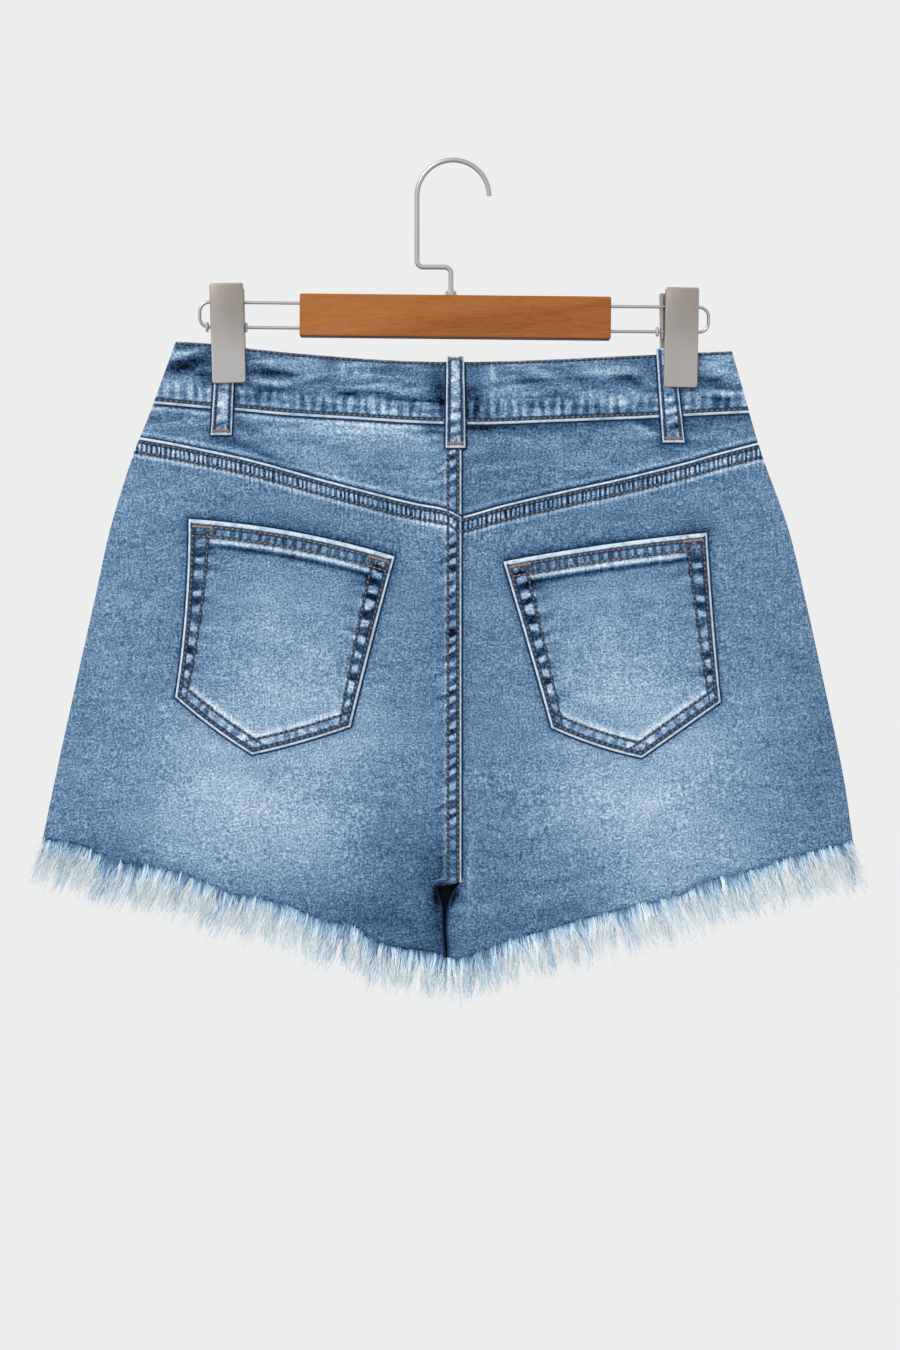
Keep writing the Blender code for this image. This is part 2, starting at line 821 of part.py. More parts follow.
def make_pockets():
    side, hem, step = POCKET_SIDE, POCKET_HEM, POCKET_STEP
    for pocket in POCKETS.rows:
        place, point_at = pocket_place(pocket)
        across = grid_lines(POCKET_ACROSS, side, side + step, point_at, 1 - side - step, 1 - side)
        down = grid_lines(POCKET_DOWN, hem, hem + step, 1 - hem - step, 1 - hem)
        cloth_wall(
            pocket["name"],
            place,
            across,
            down,
            BACK,
            POCKET_WALL,
            (DENIM_PALE, 0.9),
            lift=lambda u, v: PANEL_WALL + GAP,
            relief=pocket_relief,
        )


# ---- belt loops ------------------------------------------------------------------------------------
LOOP_CLEAR = 1.0  # a loop starts to step down to the yoke this far below the waistband
LOOP_SETTLED = 6.0


def make_loops():
    for loop in LOOPS.rows:
        facing = loop["facing"]
        top_z = waist_top(loop["x_top"], facing) + LOOP_ABOVE
        seam_z = waist_seam(loop["x_bottom"], facing)
        bottom_z = seam_z - loop["below"]

        def place(u, v, loop=loop, top_z=top_z, bottom_z=bottom_z):
            middle = mix(loop["x_top"], loop["x_bottom"], v)
            width = mix(loop["width_top"], loop["width_bottom"], v)
            return middle + (u - 0.5) * width, mix(top_z, bottom_z, v)

        def lift(u, v, loop=loop, top_z=top_z, seam_z=seam_z, bottom_z=bottom_z):
            z = mix(top_z, bottom_z, v)
            low = PANEL_WALL + loop["foot"] + GAP
            settled = ease(seam_z - LOOP_CLEAR, seam_z - LOOP_SETTLED, z)
            return mix(WAISTBAND_WALL + PIPE_RISE + GAP, low, settled) + loop["bow"] * math.sin(math.pi * v)

        clear = share_down(seam_z - LOOP_CLEAR, top_z, bottom_z)
        settled = share_down(seam_z - LOOP_SETTLED, top_z, bottom_z)
        cloth_wall(
            loop["name"],
            place,
            (0.0, 0.5, 1.0),
            grid_lines(LOOP_STEPS, clear, settled),
            facing,
            LOOP_WALL,
            (DENIM_PALE, 0.9),
            lift=lift,
        )


# ---- frayed hem ------------------------------------------------------------------------------------
FRINGE_NAMES = (
    ("fringe_back_left", "back_left", BACK, -1),
    ("fringe_back_right", "back_right", BACK, 1),
    ("fringe_front_left", "front_left", FRONT, -1),
    ("fringe_front_right", "front_right", FRONT, 1),
)


def make_fringe(name, place, facing, outward, seed):
    """A narrow strip just below a panel's hem, and a row of tapering locks that grow from it."""
    random.seed(seed)
    hem = []
    for u in ACROSS:
        x, z = place(u, 1.0)
        hem.append(Vector((x, facing * hollow(x, z, facing), z - GAP)))

    # The strip has the panel's own hem points, with the locks' roots spaced out between them.
    roots = [hem[0]]
    for a, b in zip(hem, hem[1:]):
        count = max(1, round((b - a).length / LOCK_PITCH))
        roots += [a.lerp(b, k / count) for k in range(1, count + 1)]
    across_strip = Vector((0, facing * PANEL_WALL, 0))
    down_strip = Vector((0, 0, -FRINGE_STRIP))

    bm = bmesh.new()
    sections = []
    for root in roots:
        corners = (root, root + across_strip, root + across_strip + down_strip, root + down_strip)
        sections.append([bm.verts.new(corner * MM) for corner in corners])
    bm.faces.new(sections[0])
    bm.faces.new(sections[-1])
    for i, (a, b) in enumerate(zip(sections, sections[1:])):
        for k in (0, 1, 3):
            n = (k + 1) % 4
            bm.faces.new((a[k], b[k], b[n], a[n]))
        share = (i + 0.5) / (len(sections) - 1)
        reach = FRINGE.smooth(share, "reach") * random.uniform(*LOCK_LENGTHS) - FRINGE_STRIP - GAP
        lean = outward * FRINGE.smooth(share, "lean") + random.uniform(-LOCK_STRAY, LOCK_STRAY)
        sway = facing * random.uniform(-LOCK_SWAY, LOCK_SWAY)
        add_lock(bm, (a[2], b[2], b[3], a[3]), reach, lean, sway)
    finish_mesh(name, bm, (FRAY, 0.95))


def add_lock(bm, root, reach, lean, sway):
    """One lock of frayed yarns, drawn down from its root's four points to a tip."""
    middle = sum((vert.co for vert in root), Vector()) / 4
    half_x, half_y = (root[1].co - root[0].co) / 2, (root[3].co - root[0].co) / 2
    last = root
    for row in LOCK_RINGS.rows:
        down = row["down"]
        centre = middle + at(lean * down**LOCK_CURL, sway * down, -reach * down)
        ring = []
        for i, j in ((-1, -1), (1, -1), (1, 1), (-1, 1)):
            offset = half_x * row["width"] * i + half_y * row["thickness"] * j
            ring.append(bm.verts.new(centre + offset))
        for k in range(4):
            n = (k + 1) % 4
            bm.faces.new((last[k], last[n], ring[n], ring[k]))
        last = ring
    tip = bm.verts.new(middle + at(lean, sway, -reach))
    for k in range(4):
        bm.faces.new((last[k], last[(k + 1) % 4], tip))


# ---- waist button ----------------------------------------------------------------------------------
def make_button():
    middle_z = (waist_top(BUTTON_X, FRONT) + waist_seam(BUTTON_X, FRONT)) / 2
    mesh = turned("waist_button", BUTTON_PROFILE, BUTTON_STEPS)
    button = add_object("waist_button", mesh, (COPPER, 0.35, 1.0))
    button.rotation_euler = (math.radians(-90), 0, 0)
    y = hollow(BUTTON_X, middle_z, FRONT) + WAISTBAND_WALL + GAP
    button.location = at(BUTTON_X, y, middle_z)


# ---- hanger ----------------------------------------------------------------------------------------
ARC_STEPS = 18


def tilted(x, z):
    """A point of the bar and rails, turned about the bar's middle as they hang."""
    dx, dz = x - BAR_CENTRE[0], z - BAR_CENTRE[1]
    c, s = math.cos(HANGER_TILT), math.sin(HANGER_TILT)
    return BAR_CENTRE[0] + dx * c + dz * s, BAR_CENTRE[1] - dx * s + dz * c


def rail_ends(outward):
    """The two straight runs of a rail: x inside the bar, x where the end curve starts, and their heights."""
    bar_x = BAR_CENTRE[0] + outward * (BAR_SIZE[0] / 2 - BORE_DEPTH + 1)
    curve_x = (RAIL_ENDS[0] if outward < 0 else RAIL_ENDS[1]) - outward * RAIL_SPACING / 2
    upper, lower = (BAR_CENTRE[1] + k * RAIL_SPACING / 2 for k in (1, -1))
    return bar_x, curve_x, upper, lower


def make_bar():
    half = [size / 2 for size in BAR_SIZE]
    mesh = box("hanger_bar", [-h for h in half], half, BAR_EDGE)
    bar = add_object("hanger_bar", mesh, (CHERRY, 0.4))
    bar.location = at(BAR_CENTRE[0], 0, BAR_CENTRE[1])
    bar.rotation_euler = (0, HANGER_TILT, 0)
    for outward in (-1, 1):
        _, _, upper, lower = rail_ends(outward)
        inside = BAR_CENTRE[0] + outward * (half[0] - BORE_DEPTH)
        outside = BAR_CENTRE[0] + outward * (half[0] + BORE_DEPTH)
        for z in (upper, lower):
            (x0, z0), (x1, z1) = tilted(inside, z), tilted(outside, z)
            drill = rod_mesh("rail_drill", (x0, 0, z0), (x1, 0, z1), RAIL_WIRE + GAP)
            change(bar, "DIFFERENCE", guide("rail_drill", drill))
    top = BAR_CENTRE[1] + half[2]
    stem = (HOOK_STEM_X, 0)
    drill = rod_mesh(
        "stem_drill", (*stem, top - BORE_DEPTH), (*stem, top + BORE_DEPTH), HOOK_WIRE + GAP
    )
    change(bar, "DIFFERENCE", guide("stem_drill", drill))


def rounded(corners, radius, steps=5):
    """The corners of a bent wire, each replaced by an arc."""
    points = [corners[0]]
    for before, corner, after in zip(corners, corners[1:], corners[2:]):
        before, corner, after = Vector(before), Vector(corner), Vector(after)
        start = corner + (before - corner).normalized() * radius
        end = corner + (after - corner).normalized() * radius
        for k in range(steps + 1):
            t = k / steps
            points.append(tuple(start.lerp(corner, t).lerp(corner.lerp(end, t), t)))
    points.append(corners[-1])
    return points


def make_hook():
    top = BAR_CENTRE[1] + BAR_SIZE[2] / 2
    centre_z = HOOK_WIRE - HOOK_RADIUS
    corners = [
        (HOOK_STEM_X, 0, top - BORE_DEPTH + 1),
        (HOOK_STEM_X, 0, HOOK_LEG_BOTTOM),
        (-HOOK_RADIUS, 0, HOOK_LEG_BOTTOM),
        (-HOOK_RADIUS, 0, centre_z),
    ]
    points = rounded(corners, HOOK_BEND)
    for k in range(1, ARC_STEPS + 1):
        turn = math.pi * (1 - k / ARC_STEPS)
        points.append((HOOK_RADIUS * math.cos(turn), 0, centre_z + HOOK_RADIUS * math.sin(turn)))
    tube("hanger_hook", points, HOOK_WIRE, (NICKEL, 0.3, 1.0))
    hole = HOOK_WIRE + GAP
    profile = (
        (hole, 0.0),
        (COLLAR_RADIUS, 0.0),
        (COLLAR_RADIUS, COLLAR_SHOULDER),
        (COLLAR_TOP_RADIUS, COLLAR_HEIGHT),
        (hole, COLLAR_HEIGHT),
    )
    collar = turned("hook_collar", profile, COLLAR_STEPS, ring=True)
    made = add_object("hook_collar", collar, (NICKEL, 0.3, 1.0))
    made.location = at(HOOK_STEM_X, 0, top + COLLAR_CLEAR)


def make_rails():
    for name, outward in (("rail_left", -1), ("rail_right", 1)):
        bar_x, curve_x, upper, lower = rail_ends(outward)
        points = [(bar_x, upper)]
        for k in range(ARC_STEPS // 2 + 1):
            turn = math.pi * (0.5 - 2 * k / ARC_STEPS)
            run = outward * RAIL_SPACING / 2 * math.cos(turn)
            points.append((curve_x + run, BAR_CENTRE[1] + RAIL_SPACING / 2 * math.sin(turn)))
        points.append((bar_x, lower))
        path = []
        for x, z in points:
            tilted_x, tilted_z = tilted(x, z)
            path.append((tilted_x, 0, tilted_z))
        tube(name, path, RAIL_WIRE, (NICKEL, 0.3, 1.0))


def make_clips():
    """Each clip is a plate over the back of the garment, and a jaw behind it with two cheeks on the rails."""
    plate_in = HALF_GAP + WAISTBAND_WALL + PIPE_RISE + GAP + LOOP_WALL + GAP
    jaw_in = HALF_GAP + WAISTBAND_WALL + PIPE_RISE + GAP
    half = CLIP_WIDTH / 2
    for clip in CLIPS.rows:
        place = at(clip["x"], 0, clip["top"])
        turn = (0, math.radians(-clip["lean"]), 0)
        low, high = (-half, -plate_in - CLIP_PLATE, -CLIP_HEIGHT), (half, -plate_in, 0)
        plate = box(f"{clip['name']}_plate", low, high, CLIP_EDGE)
        made = add_object(f"{clip['name']}_plate", plate, (NICKEL, 0.35, 1.0))
        made.location, made.rotation_euler = place, turn

        left, right = -half + clip["jaw_shift"], half + clip["jaw_shift"]
        low, high = (left, jaw_in, -CLIP_HEIGHT + 1), (right, jaw_in + CLIP_JAW, -CHEEK_TOP + 1)
        jaw = box(f"{clip['name']}_jaw", low, high, CLIP_EDGE)
        made = add_object(f"{clip['name']}_jaw", jaw, (NICKEL, 0.35, 1.0))
        made.location, made.rotation_euler = place, turn
        for start in (left + CLIP_EDGE, right - CLIP_EDGE - CHEEK_WALL):
            low = (start, -plate_in + GAP, -CHEEK_TOP - CHEEK_HEIGHT)
            high = (start + CHEEK_WALL, jaw_in + CLIP_JAW / 2, -CHEEK_TOP)
            cheek = guide("cheek", box("cheek", low, high))
            cheek.location, cheek.rotation_euler = place, turn
            change(made, "UNION", cheek)
        outward = -1 if clip["x"] < 0 else 1
        bar_x, _, upper, lower = rail_ends(outward)
        for z in (upper, lower):
            (x0, z0), (x1, z1) = tilted(bar_x, z), tilted(outward * DRILL_END, z)
            drill = rod_mesh("cheek_drill", (x0, 0, z0), (x1, 0, z1), RAIL_WIRE + GAP)
            change(made, "DIFFERENCE", guide("cheek_drill", drill))


# ---- the whole object ------------------------------------------------------------------------------
def clear_scene():
    for old in list(bpy.data.objects):
        bpy.data.objects.remove(old, do_unlink=True)


def main():
    clear_scene()
    make_waistband()
    make_yokes()
    places = make_panels()
    make_pockets()
    make_loops()
    for seed, (name, panel, facing, outward) in enumerate(FRINGE_NAMES, start=1):
        make_fringe(name, places[panel], facing, outward, seed)
    make_button()
    make_bar()
    make_hook()
    make_rails()
    make_clips()


main()
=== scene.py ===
"""Denim shorts with a frayed hem on a wooden clip hanger: what each piece looks like on its solid.

Sizes are in millimetres and turned into metres where a mesh is made. The wearer's left is at -X, the
garment's back faces -Y and its front faces +Y.
"""

import math

import bpy
import numpy as np
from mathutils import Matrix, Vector


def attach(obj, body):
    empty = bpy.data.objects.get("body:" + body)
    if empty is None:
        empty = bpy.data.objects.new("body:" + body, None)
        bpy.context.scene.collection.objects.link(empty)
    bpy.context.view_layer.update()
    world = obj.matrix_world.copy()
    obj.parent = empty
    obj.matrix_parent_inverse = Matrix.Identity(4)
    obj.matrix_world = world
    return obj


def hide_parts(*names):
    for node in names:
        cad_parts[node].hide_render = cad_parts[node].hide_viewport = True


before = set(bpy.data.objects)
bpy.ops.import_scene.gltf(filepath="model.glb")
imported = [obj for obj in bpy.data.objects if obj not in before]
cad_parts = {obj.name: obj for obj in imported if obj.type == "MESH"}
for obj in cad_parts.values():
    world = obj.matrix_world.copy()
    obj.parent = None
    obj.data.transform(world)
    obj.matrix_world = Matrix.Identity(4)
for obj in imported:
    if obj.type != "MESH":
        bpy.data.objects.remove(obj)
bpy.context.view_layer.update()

# ---- wooden bar ----------------------------------------------------------------------------------------
# A planed bar of reddish hardwood under satin varnish, with its long edges eased. The rails are pressed
# into its ends and the hook into its top. Its solid keeps its shape.


class Wire:
    """A number or colour on its way through a finish, so that sums on it read as sums."""

    def __init__(self, finish, socket):
        self.finish = finish
        self.socket = socket

    def maths(self, operation, a, b):
        return self.finish.node("Math", {"operation": operation}, {0: a, 1: b})

    def __add__(self, other):
        return self.maths("ADD", self, other)

    def __sub__(self, other):
        return self.maths("SUBTRACT", self, other)

    def __rsub__(self, other):
        return self.maths("SUBTRACT", other, self)

    def __mul__(self, other):
        return self.maths("MULTIPLY", self, other)

    __radd__ = __add__

    def soft(self, none, full):
        """0 at none and 1 at full, with a soft step between them."""
        limits = {0: self, 1: none, 2: full}
        return self.finish.node("MapRange", {"interpolation_type": "SMOOTHSTEP"}, limits)

    def wave(self):
        """Swings softly between 0 and 1, once for each whole number."""
        return self.maths("SINE", self * (2 * math.pi), 0.0) * 0.5 + 0.5

    def towards(self, other, share):
        """This number, moved a share of the way to another."""
        return self + (other - self) * share

    def blend(self, colour, share):
        """This colour, moved a share of the way to a plain one."""
        return self.finish.node("Mix", {"data_type": "RGBA"}, {0: share, 6: self, 7: (*colour, 1.0)}, 2)


class Finish:
    """A material, built node by node onto one shader. Plain settings of the shader are given by name."""

    def __init__(self, name, **settings):
        self.material = bpy.data.materials.new(name)
        self.material.use_nodes = True
        self.shader = self.material.node_tree.nodes["Principled BSDF"]
        for setting, value in settings.items():
            self.setting(setting).default_value = value

    def setting(self, name):
        return self.shader.inputs[name.replace("_", " ").title().replace("Ior", "IOR")]

    def node(self, kind, settings, sockets, output=0):
        tree = self.material.node_tree
        made = tree.nodes.new(f"ShaderNode{kind}")
        for setting, value in settings.items():
            if setting == "stops":
                while len(made.color_ramp.elements) < len(value):
                    made.color_ramp.elements.new(1.0)
                for element, (place, colour) in zip(made.color_ramp.elements, value):
                    element.position, element.color = place, (*colour, 1.0)
            else:
                setattr(made, setting, value)
        for socket, value in sockets.items():
            if isinstance(value, Wire):
                tree.links.new(value.socket, made.inputs[socket])
            else:
                made.inputs[socket].default_value = value
        return Wire(self, made.outputs[output])

    def feed(self, **sockets):
        """Links what varies over the surface to the shader."""
        for name, wire in sockets.items():
            self.material.node_tree.links.new(wire.socket, self.setting(name))

    def spots(self, x, y, z, detail=2.0, turn=0.0):
        """Soft random marks of about this size in millimetres, as a number around a half."""
        at = self.node("TexCoord", {}, {}, "Object")
        turned = self.node("Mapping", {"vector_type": "POINT"}, {0: at, 2: (0, turn, 0)})
        sized = self.node("Mapping", {}, {0: turned, 3: (1000 / x, 1000 / y, 1000 / z)})
        return self.node("TexNoise", {}, {"Vector": sized, "Scale": 1.0, "Detail": detail})

    def mark(self, name):
        """A number that the piece's mesh carries at each point."""
        return self.node("Attribute", {"attribute_name": name}, {}, "Fac")

    def place(self, axis):
        """The place along an axis, in metres."""
        at = self.node("TexCoord", {}, {}, "Object")
        return self.node("SeparateXYZ", {}, {0: at}, axis)

    def facing(self, axis):
        """From -1 to 1, how far the surface faces along an axis: 0, 1 or 2 for X, Y or Z."""
        normal = self.node("TexCoord", {}, {}, "Normal")
        return self.node("SeparateXYZ", {}, {0: normal}, axis)

    def shade(self, amount, *stops):
        """Colours at their places along an amount of 0 to 1, with soft steps between them."""
        return self.node("ValToRGB", {"stops": stops}, {0: amount})

    def bump(self, height, depth, strength=1.0):
        """A relief of this depth in millimetres for a height of 0 to 1."""
        return self.node("Bump", {}, {"Height": height, "Distance": depth / 1000, "Strength": strength})


def give(finish, *names):
    """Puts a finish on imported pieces, whose shape stays as it is."""
    for name in names:
        packed = bpy.data.objects[name]
        packed.data.materials.clear()
        packed.data.materials.append(finish.material)


BAR_DEEP = (0.215, 0.070, 0.018)
BAR_PLAIN = (0.330, 0.118, 0.033)
BAR_PALE = (0.406, 0.162, 0.053)
BAR_UNDER_SHADE = (0.075, 0.035, 0.022)

bar_wood = Finish("varnished hardwood", roughness=0.5, specular_ior_level=0.02)
figure = bar_wood.spots(120, 14, 12, detail=3, turn=0.10) * 0.62
figure = figure + bar_wood.spots(20, 2.0, 1.2, detail=2) * 0.45
pores = bar_wood.spots(4, 0.7, 0.5, detail=1)
leftward = bar_wood.place(0).soft(0.0, -0.12)
tone = figure * 1.3 - 0.20 - pores.soft(0.58, 0.74) * 0.25 + leftward * 0.18
planed = bar_wood.shade(tone, (0.15, BAR_DEEP), (0.5, BAR_PLAIN), (0.9, BAR_PALE))
bar_wood.feed(
    # painted shade: the bar is darker where it faces down
    base_color=planed.blend(BAR_UNDER_SHADE, (0.0 - bar_wood.facing(2)).soft(0.3, 0.8)),
    roughness=0.44 + figure * 0.12,
    normal=bar_wood.bump(figure + pores * 0.5, 0.08, 0.3),
)
give(bar_wood, "hanger_bar")

# ---- hook, collar, rails and clips ---------------------------------------------------------------------
# Bent steel wire and pressed steel plate, nickel plated and brushed. The hook stands in the bar through
# its collar, and the rails run through the clips' cheeks, with plastic washers on the lower one.

MM = 0.001
LEFT, RIGHT = "left", "right"


class Table:
    """Rows with named columns, read anywhere between two rows of the first column."""

    def __init__(self, columns, *rows):
        self.columns = columns.split()
        self.rows = [dict(zip(self.columns, row)) for row in rows]

    def arrays(self, column):
        key = self.columns[0]
        rows = sorted(self.rows, key=lambda row: row[key])
        return np.array([row[key] for row in rows]), np.array([row[column] for row in rows])

    def straight(self, at, column):
        return np.interp(at, *self.arrays(column))

    def smooth(self, at, column):
        keys, values = self.arrays(column)
        wide_keys = np.concatenate((keys[:1], keys, keys[-1:]))
        wide_values = np.concatenate((values[:1], values, values[-1:]))
        slopes = (wide_values[2:] - wide_values[:-2]) / (wide_keys[2:] - wide_keys[:-2])
        i = np.clip(np.searchsorted(keys, at, "right") - 1, 0, len(keys) - 2)
        step, rise = keys[i + 1] - keys[i], values[i + 1] - values[i]
        t = np.clip((at - keys[i]) / step, 0.0, 1.0)
        a, b = slopes[i] * step - rise, rise - slopes[i + 1] * step
        return values[i] + t * rise + t * (1 - t) * ((1 - t) * a + t * b)

    def end(self, side):
        """The first row for the wearer's left and the last for the right."""
        return self.rows[0 if side == LEFT else -1]


NICKEL = (0.530, 0.515, 0.500)
NICKEL_DULL = (0.475, 0.460, 0.445)
NICKEL_SHADED = (0.120, 0.115, 0.105)
NICKEL_HANDLED = (0.320, 0.280, 0.245)


def brushed(name, across, along, roughness, handled):
    """Nickel plate with the fine lines of brushing, which run along Z where along is longer.

    It has painted shade where it faces down and to the wearer's right. A handled piece, at 1, is
    also browned towards its top and to the wearer's right.
    """
    nickel = Finish(name, metallic=1.0, roughness=roughness)
    lines = nickel.spots(across, across, along, detail=2)
    cloud = nickel.spots(30, 30, 50, detail=1)
    # painted shade where the metal faces down and to the wearer's right
    tarnish_and_painted_shade = nickel.facing(0).soft(0.35, 1.0) * 0.55 + (0.0 - nickel.facing(2)).soft(0.1, 0.8) * 0.72
    plated = nickel.shade(cloud * 0.7 + lines * 0.3, (0.35, NICKEL_DULL), (0.62, NICKEL))
    rightward, upward = nickel.place(0).soft(-0.1, 0.1), nickel.place(2).soft(-0.142, -0.098)
    browned = (rightward * 0.28).towards(0.78, upward) * handled
    nickel.feed(
        base_color=plated.blend(NICKEL_HANDLED, browned).blend(NICKEL_SHADED, tarnish_and_painted_shade),
        roughness=roughness - 0.08 + lines * 0.16,
        normal=nickel.bump(lines, 0.02, 0.25),
    )
    return nickel


wire_nickel = brushed("nickel wire", 6.0, 0.6, 0.30, 0.0)
clip_nickel = brushed("brushed nickel plate", 0.7, 9.0, 0.36, 1.0)
give(wire_nickel, "hook_collar")
give(clip_nickel, "clip_left_jaw", "clip_right_jaw")

BAR_CENTRE = (1.6, -108.3)
BAR_TILT = math.radians(0.6)  # the bar hangs this much lower at the wearer's right
BAR_HALF = 108.7
BORE_DEPTH = 8.0
HOOK_WIRE = 1.75
HOOK_RADIUS = 25.2
HOOK_STEM = (-1.5, -101.5)  # x and z of its foot in the bar
HOOK_LEG_BOTTOM = -73.2
HOOK_BEND = 4.5
RAIL_WIRE = 1.15
RAIL_HALF = 8.7
RAIL_BEND = 6.6
RAIL_ENDS = {LEFT: -177.3, RIGHT: 178.9}


def bend(centre, radius, start, end, steps):
    """Points along a bend in the wire, between two directions in degrees."""
    turns = np.radians(np.linspace(start, end, steps))
    return [(centre[0] + radius * math.cos(turn), centre[1] + radius * math.sin(turn)) for turn in turns]


def hang(points):
    """Turns points of the bar's own level about its middle, as it hangs."""
    c, s = math.cos(BAR_TILT), math.sin(BAR_TILT)
    x0, z0 = BAR_CENTRE
    return [(x0 + (x - x0) * c + (z - z0) * s, z0 - (x - x0) * s + (z - z0) * c) for x, z in points]


def fitted(piece, finish, slot, stands_for=None):
    """Gives a finished piece its material and its place on the one body, and takes its solid's place."""
    piece.data.materials.clear()
    piece.data.materials.append(finish.material)
    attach(piece, "root")
    if stands_for:
        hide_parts(stands_for)


def wire(name, points, radius):
    """Round wire along points of x and z, in the place of its solid."""
    bpy.ops.object.select_all(action="DESELECT")
    bpy.ops.curve.primitive_nurbs_path_add()
    rod = bpy.context.object
    rod.name = rod.data.name = f"{name}_wire"
    rod.data.splines.clear()
    spline = rod.data.splines.new("POLY")
    spline.points.add(len(points) - 1)
    for point, (x, z) in zip(spline.points, points):
        point.co = (x * MM, 0.0, z * MM, 1.0)
    rod.data.bevel_depth = radius * MM
    rod.data.bevel_resolution = 6
    rod.data.use_fill_caps = True
    bpy.ops.object.convert(target="MESH")
    rod = bpy.context.object
    bpy.ops.object.shade_smooth_by_angle(angle=math.radians(60))
    fitted(rod, wire_nickel, "hanger_metal", name)


stem_x, stem_z = HOOK_STEM
leg_z = HOOK_LEG_BOTTOM
wire(
    "hanger_hook",
    [(stem_x, stem_z)]
    + bend((stem_x - HOOK_BEND, leg_z - HOOK_BEND), HOOK_BEND, 0, 90, 8)
    + bend((-HOOK_RADIUS + HOOK_BEND, leg_z + HOOK_BEND), HOOK_BEND, 270, 180, 8)
    + bend((0.0, HOOK_WIRE - HOOK_RADIUS), HOOK_RADIUS, 180, 0, 40),
    HOOK_WIRE,
)
for side, outward in ((LEFT, -1), (RIGHT, 1)):
    inner_x = BAR_CENTRE[0] + outward * (BAR_HALF - BORE_DEPTH)
    bend_x = RAIL_ENDS[side] - outward * RAIL_BEND
    high, low = (BAR_CENTRE[1] + k * RAIL_HALF for k in (1, -1))
    first, last = (90, 0) if side == RIGHT else (90, 180)
    wire(
        f"rail_{side}",
        hang(
            [(inner_x, high)]
            + bend((bend_x, high - RAIL_BEND), RAIL_BEND, first, last, 12)
            + bend((bend_x, low + RAIL_BEND), RAIL_BEND, last, 2 * last - first, 12)
            + [(inner_x, low)]
        ),
        RAIL_WIRE,
    )

CLIPS = Table(
    "name x top plate_x plate_lean",
    ("clip_left", -158.2, -85.0, -158.4, 1.6),
    ("clip_right", 160.0, -88.0, 160.1, -1.0),
)
PLATE_SIZE = (23.6, 1.8, 70.0)
PLATE_OUT = -4.85  # y of the plate's inner face
PLATE_CORNER = 1.9
PLATE_EDGE = 0.8
WASHERS = Table(
    "name x z",
    ("washer_left_outer", -172.1, -115.18),
    ("washer_left_inner", -144.8, -115.47),
    ("washer_right_inner", 142.9, -118.48),
)
WASHER_RADIUS = 3.6
WASHER_HOLE = 1.4
PLASTIC_DULL = (0.34, 0.33, 0.38)
PLASTIC_CLEAR = (0.50, 0.49, 0.55)


def select_edges(chosen):
    """Selects the edges whose two ends, in metres, the test accepts."""
    bpy.ops.object.mode_set(mode="OBJECT")
    mesh = bpy.context.object.data
    for edge in mesh.edges:
        edge.select = chosen(*(mesh.vertices[k].co for k in edge.vertices))
    bpy.ops.object.mode_set(mode="EDIT")


for clip in CLIPS.rows:
    bpy.ops.object.select_all(action="DESELECT")
    bpy.ops.mesh.primitive_cube_add(size=1.0)
    plate = bpy.context.object
    plate.name = plate.data.name = f"{clip['name']}_plate_pressed"
    plate.scale = [size * MM for size in PLATE_SIZE]
    bpy.ops.object.transform_apply(location=False, rotation=False)
    bpy.ops.object.mode_set(mode="EDIT")
    bpy.ops.mesh.select_mode(type="EDGE")
    bpy.ops.mesh.select_all(action="DESELECT")
    select_edges(lambda a, b: abs(a.y - b.y) > MM)
    bpy.ops.mesh.bevel(offset=PLATE_CORNER * MM, segments=5, affect="EDGES")
    select_edges(lambda a, b: abs(a.y - b.y) < MM / 10)
    bpy.ops.mesh.bevel(offset=PLATE_EDGE * MM, segments=3, affect="EDGES")
    bpy.ops.object.mode_set(mode="OBJECT")
    plate.location = (0, (PLATE_OUT - PLATE_SIZE[1] / 2) * MM, -PLATE_SIZE[2] / 2 * MM)
    bpy.ops.object.transform_apply(location=True, rotation=False, scale=False)
    plate.rotation_euler = (0, math.radians(-clip["plate_lean"]), 0)
    bpy.ops.object.transform_apply(location=False, rotation=True, scale=False)
    plate.location = (clip["plate_x"] * MM, 0, clip["top"] * MM)
    bpy.ops.object.transform_apply(location=True, rotation=False, scale=False)
    bpy.ops.object.shade_smooth_by_angle(angle=math.radians(35))
    fitted(plate, clip_nickel, "hanger_metal", f"{clip['name']}_plate")

plastic = Finish("clear grey plastic", roughness=0.3)
plastic.feed(base_color=plastic.shade(plastic.spots(2, 2, 2), (0.3, PLASTIC_DULL), (0.7, PLASTIC_CLEAR)))
for washer in WASHERS.rows:
    bpy.ops.object.select_all(action="DESELECT")
    bpy.ops.mesh.primitive_torus_add(
        major_segments=20,
        minor_segments=8,
        major_radius=(WASHER_RADIUS + WASHER_HOLE) / 2 * MM,
        minor_radius=(WASHER_RADIUS - WASHER_HOLE) / 2 * MM,
        rotation=(0, math.pi / 2, 0),
        location=(washer["x"] * MM, 0, washer["z"] * MM),
    )
    ring = bpy.context.object
    ring.name = ring.data.name = washer["name"]
    bpy.ops.object.transform_apply(location=True, rotation=True)
    bpy.ops.object.shade_smooth()
    fitted(ring, plastic, "hanger_metal")

# ---- back waistband ------------------------------------------------------------------------------------
# A band of two layers of washed denim, folded along both edges and topstitched with brown thread. It runs
# from side seam to side seam, hangs a little slack between the clips, and carries all the cloth below it.

BACK, INSIDE, FRONT = -1, 0, 1
LAYER = {BACK: "back", FRONT: "front"}
GAP = 0.3  # between neighbouring pieces
HALF_GAP = GAP / 2
WAISTBAND_WALL = 2.2
FAR = 99.0  # stands for a place that a mark doesn't reach

